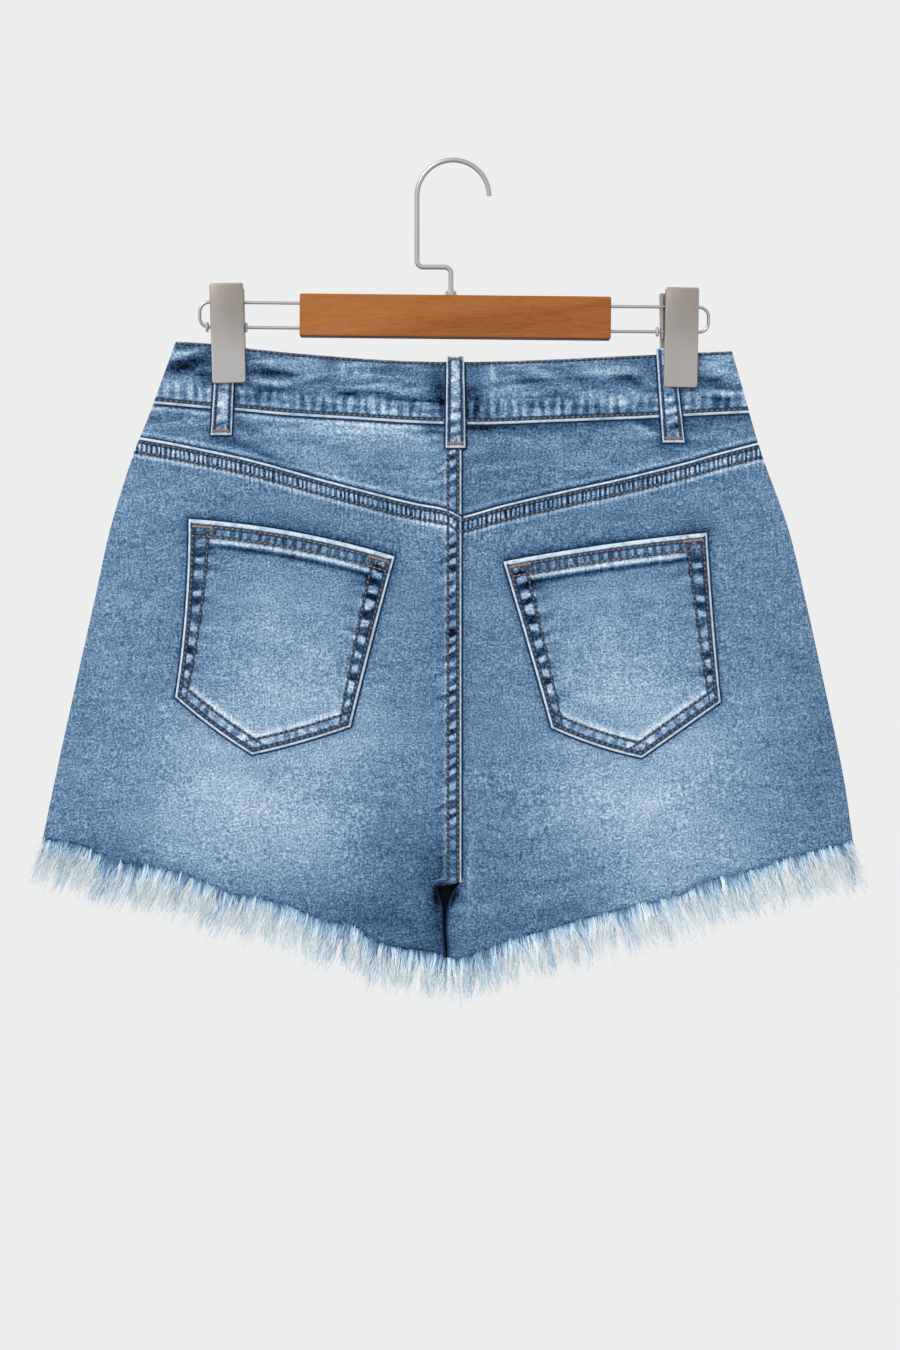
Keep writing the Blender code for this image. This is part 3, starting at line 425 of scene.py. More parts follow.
# The side seams: how far out the left and right edges lie at each height.
SIDES = Table(
    "z left right",
    (-125.0, -193.7, 193.0),
    (-170.0, -209.9, 205.8),
    (-205.0, -223.8, 216.2),
    (-255.0, -239.4, 234.2),
    (-300.0, -249.4, 245.2),
    (-370.0, -265.0, 260.7),
    (-430.0, -278.1, 273.2),
    (-478.0, -288.0, 280.3),
)

# The waistband's top edge and its seam.
WAIST_TOP = Table(
    "x z",
    (-194.0, -125.5),
    (-170.0, -127.0),
    (-145.0, -130.0),
    (-105.0, -134.5),
    (-50.0, -138.7),
    (5.0, -140.2),
    (80.0, -138.0),
    (125.0, -135.5),
    (195.0, -132.1),
)
WAIST_SEAM = Table(
    "x z",
    (-209.5, -169.0),
    (-170.0, -172.6),
    (-145.0, -174.4),
    (-113.0, -177.6),
    (-69.0, -180.4),
    (-25.0, -183.1),
    (19.0, -184.1),
    (63.0, -182.6),
    (107.0, -180.8),
    (150.0, -178.5),
    (206.0, -175.6),
)

# Half of the hollow between the layers, and how it closes to the seams.
DEPTHS = Table(
    "z back front",
    (-120.0, 4.2, 4.6),
    (-175.0, 6.0, 6.0),
    (-250.0, 9.0, 8.0),
    (-340.0, 10.5, 8.5),
    (-450.0, 9.5, 8.5),
    (-600.0, 8.0, 8.0),
)
SIDE_CLOSING = 95.0  # the hollow closes to the side seams over this width
CROTCH_CLOSING = 80.0  # and to the inseams over this one
CROTCH_FADE = (-430.0, -506.0)  # heights between which the inseam starts to draw the layers together
INSEAM = -4.6  # x of its middle

# The broad folds that the legs hang in: where each is at its full depth, and how far it stands out.
FOLDS = Table(
    "x lean top full width back front",
    (-243.0, -0.15, -400.0, -480.0, 17.0, 1.7, 1.2),
    (-204.0, -0.12, -420.0, -500.0, 15.0, -1.6, -1.2),
    (-158.0, -0.10, -390.0, -500.0, 18.0, 1.9, 1.6),
    (-112.0, -0.06, -430.0, -515.0, 16.0, -1.7, -1.4),
    (-62.0, 0.00, -440.0, -530.0, 15.0, 2.0, 1.5),
    (46.0, 0.02, -430.0, -530.0, 16.0, 2.0, 1.6),
    (92.0, 0.05, -420.0, -515.0, 17.0, -1.6, -1.3),
    (137.0, 0.08, -400.0, -505.0, 17.0, 1.6, 1.5),
    (183.0, 0.10, -410.0, -500.0, 16.0, -1.8, -1.2),
    (236.0, 0.12, -400.0, -480.0, 16.0, 1.6, 1.2),
)

CLIP_FLAT = 19.0  # the cloth is pinched flat this far to each side of a clip's middle
CLIP_FREE = 68.0  # and is free again from here
CLIP_FADE = (-160.0, -235.0)  # heights between which the pinch dies away


def mix(a, b, t):
    return a + (b - a) * t


def ease(start, end, at):
    """0 at start and 1 at end, with a soft step between them."""
    t = np.clip((at - start) / (end - start), 0.0, 1.0)
    return t * t * (3 - 2 * t)


def closing(distance, over):
    """0 at an edge and 1 from this far in, rounded like a pressed fold."""
    left = 1 - np.clip(distance / over, 0.0, 1.0)
    return 1 - left * left


def hollow(x, z, facing):
    """How far the layer's inner face is from the garment's mid plane, as on its solids."""
    left, right = SIDES.smooth(z, LEFT), SIDES.smooth(z, RIGHT)
    drawn = ease(*CROTCH_FADE, z)
    open_share = closing(np.minimum(x - left, right - x), SIDE_CLOSING)
    open_share = open_share * (1 - drawn * (1 - closing(abs(x - INSEAM), CROTCH_CLOSING)))
    depth = DEPTHS.smooth(z, LAYER[facing])
    for clip in CLIPS.rows:
        pinch = 1 - ease(CLIP_FLAT, CLIP_FREE, abs(x - clip["x"]))
        depth = depth * (1 - pinch * (1 - ease(*CLIP_FADE, z)))
    for fold in FOLDS.rows:
        along = ease(fold["top"], fold["full"], z)
        middle = fold["x"] + fold["lean"] * (fold["full"] - z)
        depth = depth + fold[LAYER[facing]] * along * np.exp(-(((x - middle) / fold["width"]) ** 2))
    return HALF_GAP + np.maximum(depth * open_share, 0.0)


# Worn pale places, darker places and painted shade, and the small creases that the cloth lies in, paler on
# their crests and with painted shade in their folds. Each is longest along its turn in degrees and fades
# out over its length and width. shade is how much paler it is, and lift how far it stands out.
BACK_WASH_AND_SHADE = Table(
    "x z turn length width shade",
    # worn pale: yokes, seat, thighs, pockets and the right hem
    (-162, -446, 8, 59, 30.8, 0.20),
    (-99, -466, -12, 46, 23.8, 0.16),
    (131, -448, -4, 59, 30.8, 0.21),
    (82, -455, 10, 42, 23.8, 0.10),
    (-116, -374, 0, 46, 34.0, 0.13),
    (-120, -320, 0, 40, 35.0, 0.08),
    (118, -378, 0, 46, 32.0, 0.13),
    (111, -331, 0, 40, 33.6, 0.07),
    (-58, -408, 0, 42, 28.0, 0.06),
    (173, -401, 0, 35, 35.0, 0.06),
    (-46, -187, -4, 42, 18.2, 0.10),
    (-107, -215, -12, 35, 14.0, 0.05),
    (-75, -187, -3, 62, 8.0, 0.11),
    (103, -187, 4, 42, 18.2, 0.05),
    (-11, -255, -10, 18, 8.4, 0.13),
    (-234, -348, 0, 24, 84.0, 0.03),
    (150, -512, 16, 150, 8.0, 0.055),
    (-150, -492, -12, 58, 20.0, 0.10),
    (152, -492, 14, 76, 21.0, 0.115),
    (-174, -402, 10, 40, 25.0, 0.10),
    (-96, -410, 0, 30, 13.0, 0.08),
    (78, -408, 0, 28, 13.0, 0.07),
    (160, -409, 0, 38, 14.0, 0.07),
    (212, -388, 90, 44, 20.0, 0.05),
    (-66, -376, 90, 22, 14.0, 0.06),
    (236, -246, 90, 30, 16.0, 0.05),
    (-226, -238, 90, 16, 26.0, 0.045),
    (177, -514, 14, 27, 8.0, 0.08),
    (-2, -447, 90, 26, 6.5, 0.07),
    (-2, -366, 90, 14, 6.5, 0.06),
    (-88, -430, 0, 22, 10.0, 0.05),
    (-150, -409, 0, 18, 10.0, 0.05),
    (-196, -372, 90, 18, 14.0, 0.045),
    (15, -478, 90, 24, 6.0, 0.05),
    # darker: the left hem and the sides, and painted shade in the crotch and beside the pockets and seams
    (86, -449, 0, 36, 14.0, -0.075),
    (-63, -472, 0, 18, 12.0, -0.05),
    (-224, -450, 0, 26, 11.0, -0.045),
    (-22, -552, -12, 14, 8.0, -0.10),
    (124, -320, 90, 16, 11.0, -0.05),
    (60, -470, 0, 13, 9.0, -0.05),
    (-226, -470, 0, 18, 9.0, -0.045),
    (-30, -502, 0, 42, 42.0, -0.10),
    (-37, -537, -18, 56, 16.8, -0.08),
    (33, -502, 0, 35, 42.0, -0.03),
    (54, -534, 14, 49, 15.4, -0.08),
    (-11, -520, 0, 10, 49.0, -0.07),
    (-253, -480, -8, 31, 11.2, -0.08),
    (-195, -494, -14, 42, 7.0, -0.05),
    (243, -473, 8, 42, 14.0, -0.04),
    (260, -418, 0, 28, 63.0, -0.05),
    (201, -502, 8, 42, 7.0, -0.03),
    (-79, -520, -16, 49, 8.4, -0.07),
    (89, -520, 12, 42, 8.4, -0.05),
    (-118, -264, -8, 56, 12.6, -0.08),
    (99, -268, 7, 59, 12.6, -0.08),
    (166, -263, 0, 15, 15.4, -0.12),
    (-57, -287, -20, 15, 16.8, -0.13),
    (56, -289, 20, 15, 16.8, -0.13),
    (-174, -263, 0, 14, 14.0, -0.07),
    (-9, -334, 0, 14, 77.0, -0.03),
    (138, -222, 8, 15, 7.0, -0.11),
    (10, -252, 0, 10, 15.4, -0.10),
    # dark: waistband
    (-140, -136, -6, 8, 3.0, -0.14),
    (-86, -142, 84, 8, 5.5, -0.18),
    (-30, -145, 0, 10, 3.5, -0.11),
    (136, -141, 80, 6, 3.5, -0.16),
)
BACK_CREASES = Table(
    "x z turn length width shade lift",
    # yoke seam
    (-32, -241, -10, 20, 8.4, -0.16, -0.4),
    (61, -241, 10, 24, 8.4, -0.17, -0.4),
    (-121, -215, -14, 28, 8.4, -0.09, -0.3),
    (108, -227, 10, 21, 7.0, -0.11, -0.3),
    (-125, -208, -23, 43, 2.4, -0.16, -0.5),
    (-48, -245, -18, 24, 2.1, -0.14, -0.4),
    # waistband creases, left
    (-187, -142, 12, 16, 4.6, -0.50, -0.5),
    (-173, -149.5, -12, 10, 3.6, -0.42, -0.4),
    (-187, -133.5, 18, 14, 2.2, 0.20, 0.3),
    (-184, -129, 4, 8, 1.8, -0.22, -0.2),
    (-180, -147, 14, 10, 1.6, 0.13, 0.2),
    (-186, -158, 4, 16, 4.0, 0.14, 0.3),
    (-127, -147.6, -5, 18, 2.5, -0.48, -0.5),
    (-127, -158.6, -3, 14, 1.7, -0.40, -0.3),
    (-128, -153.5, -4, 15, 2.0, 0.15, 0.3),
    (-122, -141, -4, 14, 2.4, 0.09, 0.2),
    (-98, -154, 12, 12, 1.3, -0.20, -0.2),
    (-100, -159, 12, 12, 1.5, 0.13, 0.2),
    (-74, -162.6, 2, 9, 1.2, -0.50, -0.4),
    (-56, -161.5, -3, 10, 1.1, -0.24, -0.2),
    (-27, -166.6, -5, 18, 1.3, -0.50, -0.4),
    (-60, -157.5, 6, 14, 1.4, 0.18, 0.3),
    (-45, -151.5, -4, 18, 1.5, 0.16, 0.2),
    (-28, -156.5, 4, 7, 1.2, -0.26, -0.2),
    (-62, -153.5, 4, 10, 1.2, -0.16, -0.2),
    (-11, -154, 88, 16, 6.5, -0.28, -0.3),
    (-9, -170, 84, 9, 3.5, -0.28, -0.2),
    (-77, -144, 86, 5, 1.8, 0.17, 0.2),
    (-68, -145, 90, 5, 1.7, 0.15, 0.2),
    (-59, -146, 90, 5, 1.8, 0.14, 0.2),
    (-52, -144.5, 92, 4, 1.5, 0.13, 0.2),
    # waistband creases, right
    (15, -158, 90, 24, 7.5, -0.20, -0.3),
    (27.5, -146, 90, 6, 1.5, 0.24, 0.3),
    (27, -172, 88, 5, 1.6, 0.16, 0.2),
    (42, -146, 88, 5, 2.0, 0.16, 0.2),
    (56, -143, 90, 4, 1.5, 0.13, 0.2),
    (79, -143, 90, 4, 1.6, 0.13, 0.2),
    (53, -153.3, 3, 14, 2.1, -0.32, -0.4),
    (34, -156, 2, 9, 2.0, -0.18, -0.2),
    (88, -148.6, 2, 24, 1.2, 0.20, 0.3),
    (46, -157.5, 8, 15, 1.3, 0.15, 0.2),
    (55, -164.8, 3, 22, 1.4, -0.24, -0.3),
    (92, -152.3, 0, 8, 1.5, -0.26, -0.2),
    (118, -150.8, 2, 10, 1.6, -0.24, -0.2),
    (130, -156, -28, 12, 2.6, -0.24, -0.3),
    (112, -163, -3, 24, 3.2, 0.07, 0.3),
    (85, -158, 10, 16, 1.6, 0.09, 0.2),
    (108, -144.5, 4, 16, 2.0, 0.10, 0.2),
    (180, -152, -6, 10, 2.6, -0.32, -0.3),
    (188, -158, -4, 8, 1.6, -0.24, -0.2),
    (186, -147, 14, 10, 1.4, 0.18, 0.2),
    (182, -140, 8, 12, 2.4, 0.09, 0.2),
    (190, -162, 2, 14, 1.8, 0.19, 0.3),
    (188, -166.5, -4, 8, 2.4, -0.17, -0.3),
    # yoke near the loops
    (-202, -178, 12, 17, 4.2, -0.15, -0.3),
    (-146, -184, -30, 12, 4.2, -0.22, -0.3),
    (-14, -187.5, -8, 9, 3.6, -0.36, -0.3),
    (16, -186, 2, 16, 4.5, -0.26, -0.4),
    (132, -187, -24, 13, 1.6, 0.16, 0.3),
    (-160, -196, 0, 18, 4.9, -0.17, -0.3),
    (150, -196, 6, 18, 4.9, -0.18, -0.3),
    (178, -184, 6, 17, 3.5, -0.14, -0.3),
    (138, -184, -22, 12, 3.2, -0.22, -0.3),
    (64, -188, 4, 35, 4.6, -0.10, -0.2),
    # seat creases
    (1, -376, -4, 21, 2.8, -0.06, -0.3),
    (-107, -252, -12, 42, 2.8, -0.07, -0.4),
    (131, -247, 9, 42, 2.8, -0.06, -0.4),
    (33, -481, 14, 42, 3.5, -0.05, -0.4),
    (75, -502, 16, 49, 3.5, -0.06, -0.5),
    (-51, -481, -10, 35, 3.5, -0.06, -0.4),
    # the crease and the shaded edges beside the crotch
    (11.5, -506, 90, 26, 1.3, 0.13, 0.25),
    (-13, -520, 96, 22, 5.0, -0.16, -0.2),
    (2, -512, 70, 9, 4.5, -0.16, -0.2),
    (-11.0, -511, 90, 8, 2.6, -0.42, -0.2),
    (-8.8, -490, 90, 20, 1.3, -0.22, -0.1),
    (0.0, -514, 60, 7, 2.4, -0.3, -0.2),
)
INSIDE_SHADE = Table(
    "x z turn length width shade",
    # no light reaches in between the layers at the crotch
    (-4, -524, 90, 42, 19.0, -1.40),
)
MARKS = {BACK: (BACK_WASH_AND_SHADE, BACK_CREASES), INSIDE: (INSIDE_SHADE,)}


def marked(x, z, layer, column):
    """The shade or the lift that a layer's marks add up to at each place."""
    total = np.zeros(np.shape(x))
    for row in (row for table in MARKS[layer] if column in table.columns for row in table.rows):
        turn = math.radians(row["turn"])
        dx, dz = x - row["x"], z - row["z"]
        along = (dx * math.cos(turn) + dz * math.sin(turn)) / row["length"]
        across = (dz * math.cos(turn) - dx * math.sin(turn)) / row["width"]
        total = total + row[column] * np.exp(-(along**2) - across**2)
    return total


def form(x, z, facing):
    """The hollow form with its small creases: what every layer of cloth lies on."""
    return hollow(x, z, facing) + marked(x, z, facing, "lift")


# What the sewing and the washing leave on cloth, and where shade is painted, worked out at each point of a
# piece in millimetres: ridge is how far in from a worn fold it is, gap how far off a neighbour that lies on
# top, whose painted shadow falls there, and seam how far off a row of stitches, beside which shade is
# painted. run and pucker say where a seam is gathered, bands is how much paler or darker the cloth is
# beside it, dark is where a raw edge was cut, and level and roll shape the face.
ROLL_DEPTH = 0.8
ROLL_WIDTH = 1.4
SIDE_ROLL = 0.6
LEVEL_STEP = 1.4  # what stands out falls back over this width
GATHER_START = (1.0, 2.6)  # gathers set in between these distances from a fold
GATHER_END = 1.6  # and fade over this width where the turned-in cloth ends
GATHER_TAIL = (2.0, 13.0)  # but for wisps of them, which fade between these distances beyond it
SECOND_ROW = 0.6  # a second row of stitches counts as this much further off, as it draws the cloth in less
TOP_ROW = 0.9  # and so does the row along a waistband's top
INNER_CLEAR = 0.05  # between the cloth's inner face and the hollow
INSIDE_PALE = 0.12  # the undyed cross threads show more on the inner face
CUT_DARK = 0.15


def fresh(x):
    """Cloth with no marks on it yet."""
    wear = {mark: np.zeros(np.shape(x)) for mark in ("run", "pucker", "level", "roll", "dark", "bands")}
    wear.update({mark: np.full(np.shape(x), FAR) for mark in ("ridge", "gap", "seam")})
    return wear


def rolled(wear, distance, depth=ROLL_DEPTH):
    """An edge whose face turns down to the fold."""
    near = 1 - np.clip(distance / ROLL_WIDTH, 0.0, 1.0)
    wear["roll"] = np.maximum(wear["roll"], depth * near * near)


def banded(wear, distance, middle, width, shade):
    """A soft pale or dark band that follows an edge."""
    wear["bands"] = wear["bands"] + shade * np.exp(-(((distance - middle) / width) ** 2))


def fold(wear, distance, along, rows=(), width=0.0, pucker=0.0, level=0.0, level_width=None, broad=1.0):
    """A folded edge, stitched down in rows over its turned-in width, worn white and puckered.

    It stands out by level, over level_width or its whole width, and broad is how wide its worn line is.
    """
    nearer = (distance < wear["ridge"]) & (distance > -1.0)
    beyond = ease(width, width + GATHER_END, distance)
    band = ease(*GATHER_START, distance) * (1 - beyond)
    tail = beyond * (1 - ease(*(width + further for further in GATHER_TAIL), distance))
    wisps = ease(0.1, 0.9, np.sin(along * 2.4) * np.sin(along * 1.7 + 2.0))
    wear["run"] = np.where(nearer, along, wear["run"])
    wear["pucker"] = np.where(nearer, pucker * (band + tail * (0.12 + 0.42 * wisps)), wear["pucker"])
    wear["ridge"] = np.where(nearer, distance / broad, wear["ridge"])
    for k, row in enumerate(rows):
        wear["seam"] = np.minimum(wear["seam"], abs(distance - row) + SECOND_ROW * k)
    reach = width if level_width is None else level_width
    wear["level"] = np.maximum(wear["level"], level * (1 - ease(reach, reach + LEVEL_STEP, distance)))
    rolled(wear, distance)


def lapped(wear, distance):
    """A neighbour's edge that lies on top, beside which a shadow is painted."""
    wear["gap"] = np.minimum(wear["gap"], distance)


def spread(length, step, *bands):
    """Shares from 0 to 1 along a length: even steps, with closer ones in bands of start, end and step."""
    even = np.linspace(0.0, length, round(length / step) + 1)
    for start, end, close in bands:
        inside = np.linspace(start, end, max(2, round((end - start) / close) + 1))
        even = np.concatenate((even[(even < start - close / 2) | (even > end + close / 2)], inside))
    return np.unique(np.clip(even, 0.0, length)) / length


# Washed indigo denim: dark weft shadows, mid blue, and worn near white on folds.
WASH = (
    (0.00, (0.001, 0.003, 0.008)),
    (0.16, (0.014, 0.037, 0.080)),
    (0.34, (0.041, 0.093, 0.178)),
    (0.50, (0.103, 0.190, 0.310)),
    (0.66, (0.222, 0.338, 0.470)),
    (0.82, (0.430, 0.545, 0.645)),
    (1.00, (0.740, 0.800, 0.840)),
)
TONE_DENIM = 0.515  # places between the dark and the white end of the wash
TONE_STITCH_SHADE = 0.12
TONE_WORN = 0.92
TONE_SHADED = 0.10

denim = Finish("washed denim", roughness=0.9, specular_ior_level=0.06)
grain = denim.spots(1.45, 1.45, 1.2, detail=3)
slub = denim.spots(10.0, 10.0, 1.5, detail=2, turn=0.12)
warp = denim.spots(1.0, 1.0, 7.0, detail=2)
cloud = denim.spots(22, 22, 15, detail=3)
streaks = denim.spots(30, 30, 7.0, detail=3, turn=-0.03).soft(0.3, 0.7)
rubbed = denim.spots(6, 6, 6, detail=2).soft(0.36, 0.58)
run, ridge, pucker, under = (denim.mark(name) for name in ("run", "ridge", "pucker", "gap"))


def along_seam(pace, start):
    """Random marks that change with run, along a seam."""
    at = denim.node("CombineXYZ", {}, {0: run * pace + start, 1: ridge * 0.05})
    return denim.node("TexNoise", {}, {"Vector": at, "Scale": 1.0, "Detail": 2.0})


ladder = (run + along_seam(0.8, 0.0) * 1.2).wave().soft(0.1, 0.9)
patchy = along_seam(0.6, 31.0).soft(0.36, 0.62)
wool = grain - 0.5
tone = (
    TONE_DENIM
    + denim.mark("wash")
    + wool * 1.02
    + (slub - 0.5) * 0.20
    + (warp - 0.5) * 0.22
    + (cloud - 0.5) * 0.09
    + (streaks - 0.6) * denim.mark("mottle")
    + (ladder - 0.70) * pucker * (0.28 + patchy * 0.32)
    # painted soft shadow beside a neighbour that lies on top
    - under.soft(7.0, 0.5) * 0.07
)
# painted shade in the groove along each row of stitches
tone = tone.towards(TONE_STITCH_SHADE + wool * 0.3, (denim.mark("seam") + wool * 0.8).soft(2.0, 0.9) * 0.78)
tone = tone.towards(TONE_WORN + wool * 0.4, (ridge + wool * 1.1).soft(1.9, 1.1) * (0.72 + rubbed * 0.26))
# painted shadow line along the edge of a neighbour that lies on top
tone = tone.towards(TONE_SHADED, (under + wool * 1.2).soft(2.0, 0.7) * 0.88)
height = wool * 0.5 + (warp - 0.5) * 0.3 + ladder * pucker * 1.6
denim.feed(base_color=denim.shade(tone, *WASH), normal=denim.bump(height, 0.35, 0.55))


def write_marks(mesh, marks):
    """Gives a mesh numbers at each of its points, for the finishes to read."""
    for mark, values in marks.items():
        values = np.ravel(values).astype(np.float32)
        mesh.attributes.new(mark, "FLOAT", "POINT").data.foreach_set("value", values)


def cloth(name, place, across, down, facing, wall, worn, lift=None, mottle=0.05, pale=0.0):
    """A cloth piece over its solid: a fine grid on the garment's form, its wall turned in from the face.

    place gives x and z at shares across and down, worn the marks there, and lift how far the piece is
    carried out. Returns the piece and its face, a function that gives the face's place on Y.
    """

    def face(x, z, wear=None):
        wear = wear or worn(x, z)
        y = form(x, z, facing) + wall + wear["level"] - wear["roll"]
        return facing * (y + (lift(x, z) if lift else 0.0))

    x, z = place(*np.meshgrid(across, down))
    wear = worn(x, z)
    inner = facing * (form(x, z, facing) + INNER_CLEAR + (lift(x, z) if lift else 0.0))
    outer = np.stack((x, face(x, z, wear), z), axis=-1) * MM
    lining = np.stack((x, inner, z), axis=-1) * MM
    bpy.ops.object.select_all(action="DESELECT")
    bpy.ops.mesh.primitive_grid_add(x_subdivisions=len(across) - 1, y_subdivisions=len(down) - 1)
    piece = bpy.context.object
    piece.name = piece.data.name = f"{name}_cloth"
    piece.data.vertices.foreach_set("co", outer.ravel())
    piece.data.update()
    if piece.data.polygons[len(piece.data.polygons) // 2].normal.y * facing < 0:
        piece.data.flip_normals()
    thick = piece.modifiers.new("wall", "SOLIDIFY")
    thick.thickness = wall * MM
    thick.offset = -1.0
    bpy.ops.object.modifier_apply(modifier="wall")
    piece.data.vertices.foreach_set("co", np.concatenate((outer.ravel(), lining.ravel())))

    plain = fresh(x)
    wear["wash"] = marked(x, z, facing, "shade") + pale + wear["bands"] - CUT_DARK * wear["dark"]
    plain["wash"] = wear["wash"] + INSIDE_PALE + marked(x, z, INSIDE, "shade")
    wear["mottle"] = plain["mottle"] = np.full(x.shape, mottle)
    read = ("ridge", "gap", "seam", "run", "pucker", "wash", "mottle")
    write_marks(piece.data, {mark: (wear[mark], plain[mark]) for mark in read})
    piece.data.update()
    bpy.ops.object.shade_smooth_by_angle(angle=math.radians(50))
    fitted(piece, denim, "denim", name)
    return piece, face


# Lockstitches and bar tacks of twisted thread. One stitch is modelled, and each row is laid in copies.
STITCHES = Table(
    "kind pitch length width height slant",
    ("lock", 1.95, 2.35, 1.25, 0.90, 20.0),
    ("edge", 1.95, 2.35, 1.45, 0.95, 24.0),
    ("fine", 1.60, 2.05, 1.00, 0.80, 20.0),
    ("tack", 0.80, 2.30, 0.95, 0.90, 76.0),
)
STITCH_REACH = 0.6  # a stitch's slope is read this far to each side of its middle
STITCH_PROUD = 0.22  # how much of its height its middle stands out
THREAD_DARK = (0.018, 0.019, 0.026)
THREAD_BROWN = (0.085, 0.080, 0.086)
THREAD_TAN = (0.270, 0.225, 0.195)
THREAD_ORANGE = (0.480, 0.235, 0.090)
TONE_EDGE = 0.20  # a row's tone runs from dark at 0 to orange at 1
TONE_SEAM = 0.34

thread = Finish("brown topstitching thread", roughness=0.7)
strand = thread.spots(0.7, 0.7, 0.5, detail=1)
warm = thread.mark("warm") + (strand - 0.5) * 0.3
thread.feed(
    base_color=thread.shade(
        warm, (0.08, THREAD_DARK), (0.34, THREAD_BROWN), (0.70, THREAD_TAN), (1.0, THREAD_ORANGE)
    ),
    normal=thread.bump(strand, 0.15, 0.6),
)

bpy.ops.object.select_all(action="DESELECT")
bpy.ops.mesh.primitive_uv_sphere_add(segments=5, ring_count=3, radius=0.5)
one_stitch = bpy.context.object
STITCH_POINTS = np.array([(v.co.z, v.co.x, v.co.y) for v in one_stitch.data.vertices])
STITCH_FACES = [tuple(face.vertices) for face in one_stitch.data.polygons]
bpy.data.objects.remove(one_stitch, do_unlink=True)


def unit(vectors):
    return vectors / np.linalg.norm(vectors, axis=-1, keepdims=True)


def joined(name, points, faces, marks, *fitting):
    """Many small things as one piece, from their points in millimetres."""
    mesh = bpy.data.meshes.new(name)
    mesh.from_pydata((points * MM).tolist(), [], faces)
    write_marks(mesh, marks)
    mesh.shade_smooth()
    piece = bpy.data.objects.new(name, mesh)
    bpy.context.scene.collection.objects.link(piece)
    fitted(piece, *fitting)


def sew(name, face, *rows):
    """All the stitches on a face of cloth as one piece. A row is its path, its kind and its tone."""
    chance = np.random.default_rng(len(name))
    kinds = {row["kind"]: row for row in STITCHES.rows}
    points, tones = [], []
    for path, kind, tone in rows:
        stitch = kinds[kind]
        path = np.array(path, dtype=float)
        travelled = np.concatenate(([0.0], np.cumsum(np.hypot(*np.diff(path, axis=0).T))))
        count = max(1, round(travelled[-1] / stitch["pitch"]))
        middles = (np.arange(count) + 0.5) * travelled[-1] / count
        ends = []
        for shift in (-STITCH_REACH, STITCH_REACH):
            x = np.interp(middles + shift, travelled, path[:, 0])
            z = np.interp(middles + shift, travelled, path[:, 1])
            ends.append(np.stack((x, face(x, z), z), axis=-1))
        facing = np.sign(ends[0][0, 1])
        along = unit(ends[1] - ends[0])
        out = unit(np.array((0.0, facing, 0.0)) - facing * along[:, 1:2] * along)
        side = np.cross(out, along)
        slant = np.radians(stitch["slant"] + chance.uniform(-5, 5, (count, 1)))
        long_way = along * np.cos(slant) + side * np.sin(slant)
        wide_way = side * np.cos(slant) - along * np.sin(slant)
        size = chance.uniform(0.93, 1.07, (count, 1, 1))
        centre = (ends[0] + ends[1]) / 2 + out * stitch["height"] * STITCH_PROUD
        local = STITCH_POINTS * (stitch["length"], stitch["width"], stitch["height"])
        ways = [way[:, None] for way in (long_way, wide_way, out)]
        block = sum(local[:, k : k + 1] * way for k, way in enumerate(ways))
        points.append((centre[:, None] + size * block).reshape(-1, 3))
        shades = tone + chance.uniform(-0.08, 0.08, count) + 0.20 * (-1.0) ** np.arange(count)
        tones.append(np.repeat(shades, len(STITCH_POINTS)))
    points = np.concatenate(points)
    starts = range(0, len(points), len(STITCH_POINTS))
    faces = [tuple(i + start for i in corners) for start in starts for corners in STITCH_FACES]
    joined(name, points, faces, {"warm": np.concatenate(tones)}, thread, "denim")


CENTRE_BACK = 5.9
FRONT_WAIST_DROP = 12.0
FRONT_DROP_REACH = 200.0
PIPE_RISE = 0.4  # how far a folded edge stands out, and below how far a felled seam does
FELL_RISE = 0.7
BAND_PIPE = 2.8
BAND_ROW = 3.0
BAND_TOP_ROW = 1.5
BAND_PUCKER = 14.5
BAND_PERIOD = 7.6
BAND_RIBS = ((6.2, 1.4, 0.10), (13.0, 2.0, 0.08))  # pale lines above its seam: distance, width, shade
BAND_SEWN = {LEFT: (-192, -206), RIGHT: (191.5, 203.5)}  # x where the upper and the lower row end


def waist_drop(x, facing):
    """How much lower the front's waist lies than the back's."""
    share = np.maximum(0.0, 1 - (x / FRONT_DROP_REACH) ** 2)
    return FRONT_WAIST_DROP * share if facing == FRONT else 0.0 * share


def waist_top(x, facing):
    return WAIST_TOP.smooth(x, "z") - waist_drop(x, facing)


def waist_seam(x, facing):
    return WAIST_SEAM.smooth(x, "z") - waist_drop(x, facing)


def band_half(side, facing, centre):
    """Half of the waistband, from the side seam to the centre."""
    top_x = SIDES.smooth(WAIST_TOP.end(side)["z"], side)
    seam_x = SIDES.smooth(WAIST_SEAM.end(side)["z"], side)

    def place(u, v):
        x_top, x_seam = mix(top_x, centre, u), mix(seam_x, centre, u)
        z_top, z_seam = waist_top(x_top, facing), waist_seam(x_seam, facing) + HALF_GAP
        return mix(x_top, x_seam, v), mix(z_top, z_seam, v)

    return place


def band_back(u, v):
    left = band_half(LEFT, BACK, CENTRE_BACK)(2 * u, v)
    right = band_half(RIGHT, BACK, CENTRE_BACK)(2 - 2 * u, v)
    return [np.where(u <= 0.5, a, b) for a, b in zip(left, right)]


LOOPS = Table(
    "name facing x_top x_bottom width_top width_bottom below foot bow",
    ("loop_back_centre", BACK, 1.6, 1.8, 12.2, 13.8, 16.4, FELL_RISE, 1.4),
    ("loop_back_left", BACK, -158.6, -162.0, 12.8, 14.6, 17.9, 0.0, 0.0),
    ("loop_back_right", BACK, 148.2, 154.2, 12.4, 15.4, 18.0, 0.0, 0.0),
    ("loop_front_left", FRONT, -84.0, -85.0, 12.6, 13.4, 14.5, 0.0, 1.4),
    ("loop_front_right", FRONT, 84.0, 85.0, 12.6, 13.4, 14.5, 0.0, 1.4),
)
LOOP_ABOVE = 4.0  # a loop reaches this far above the waistband


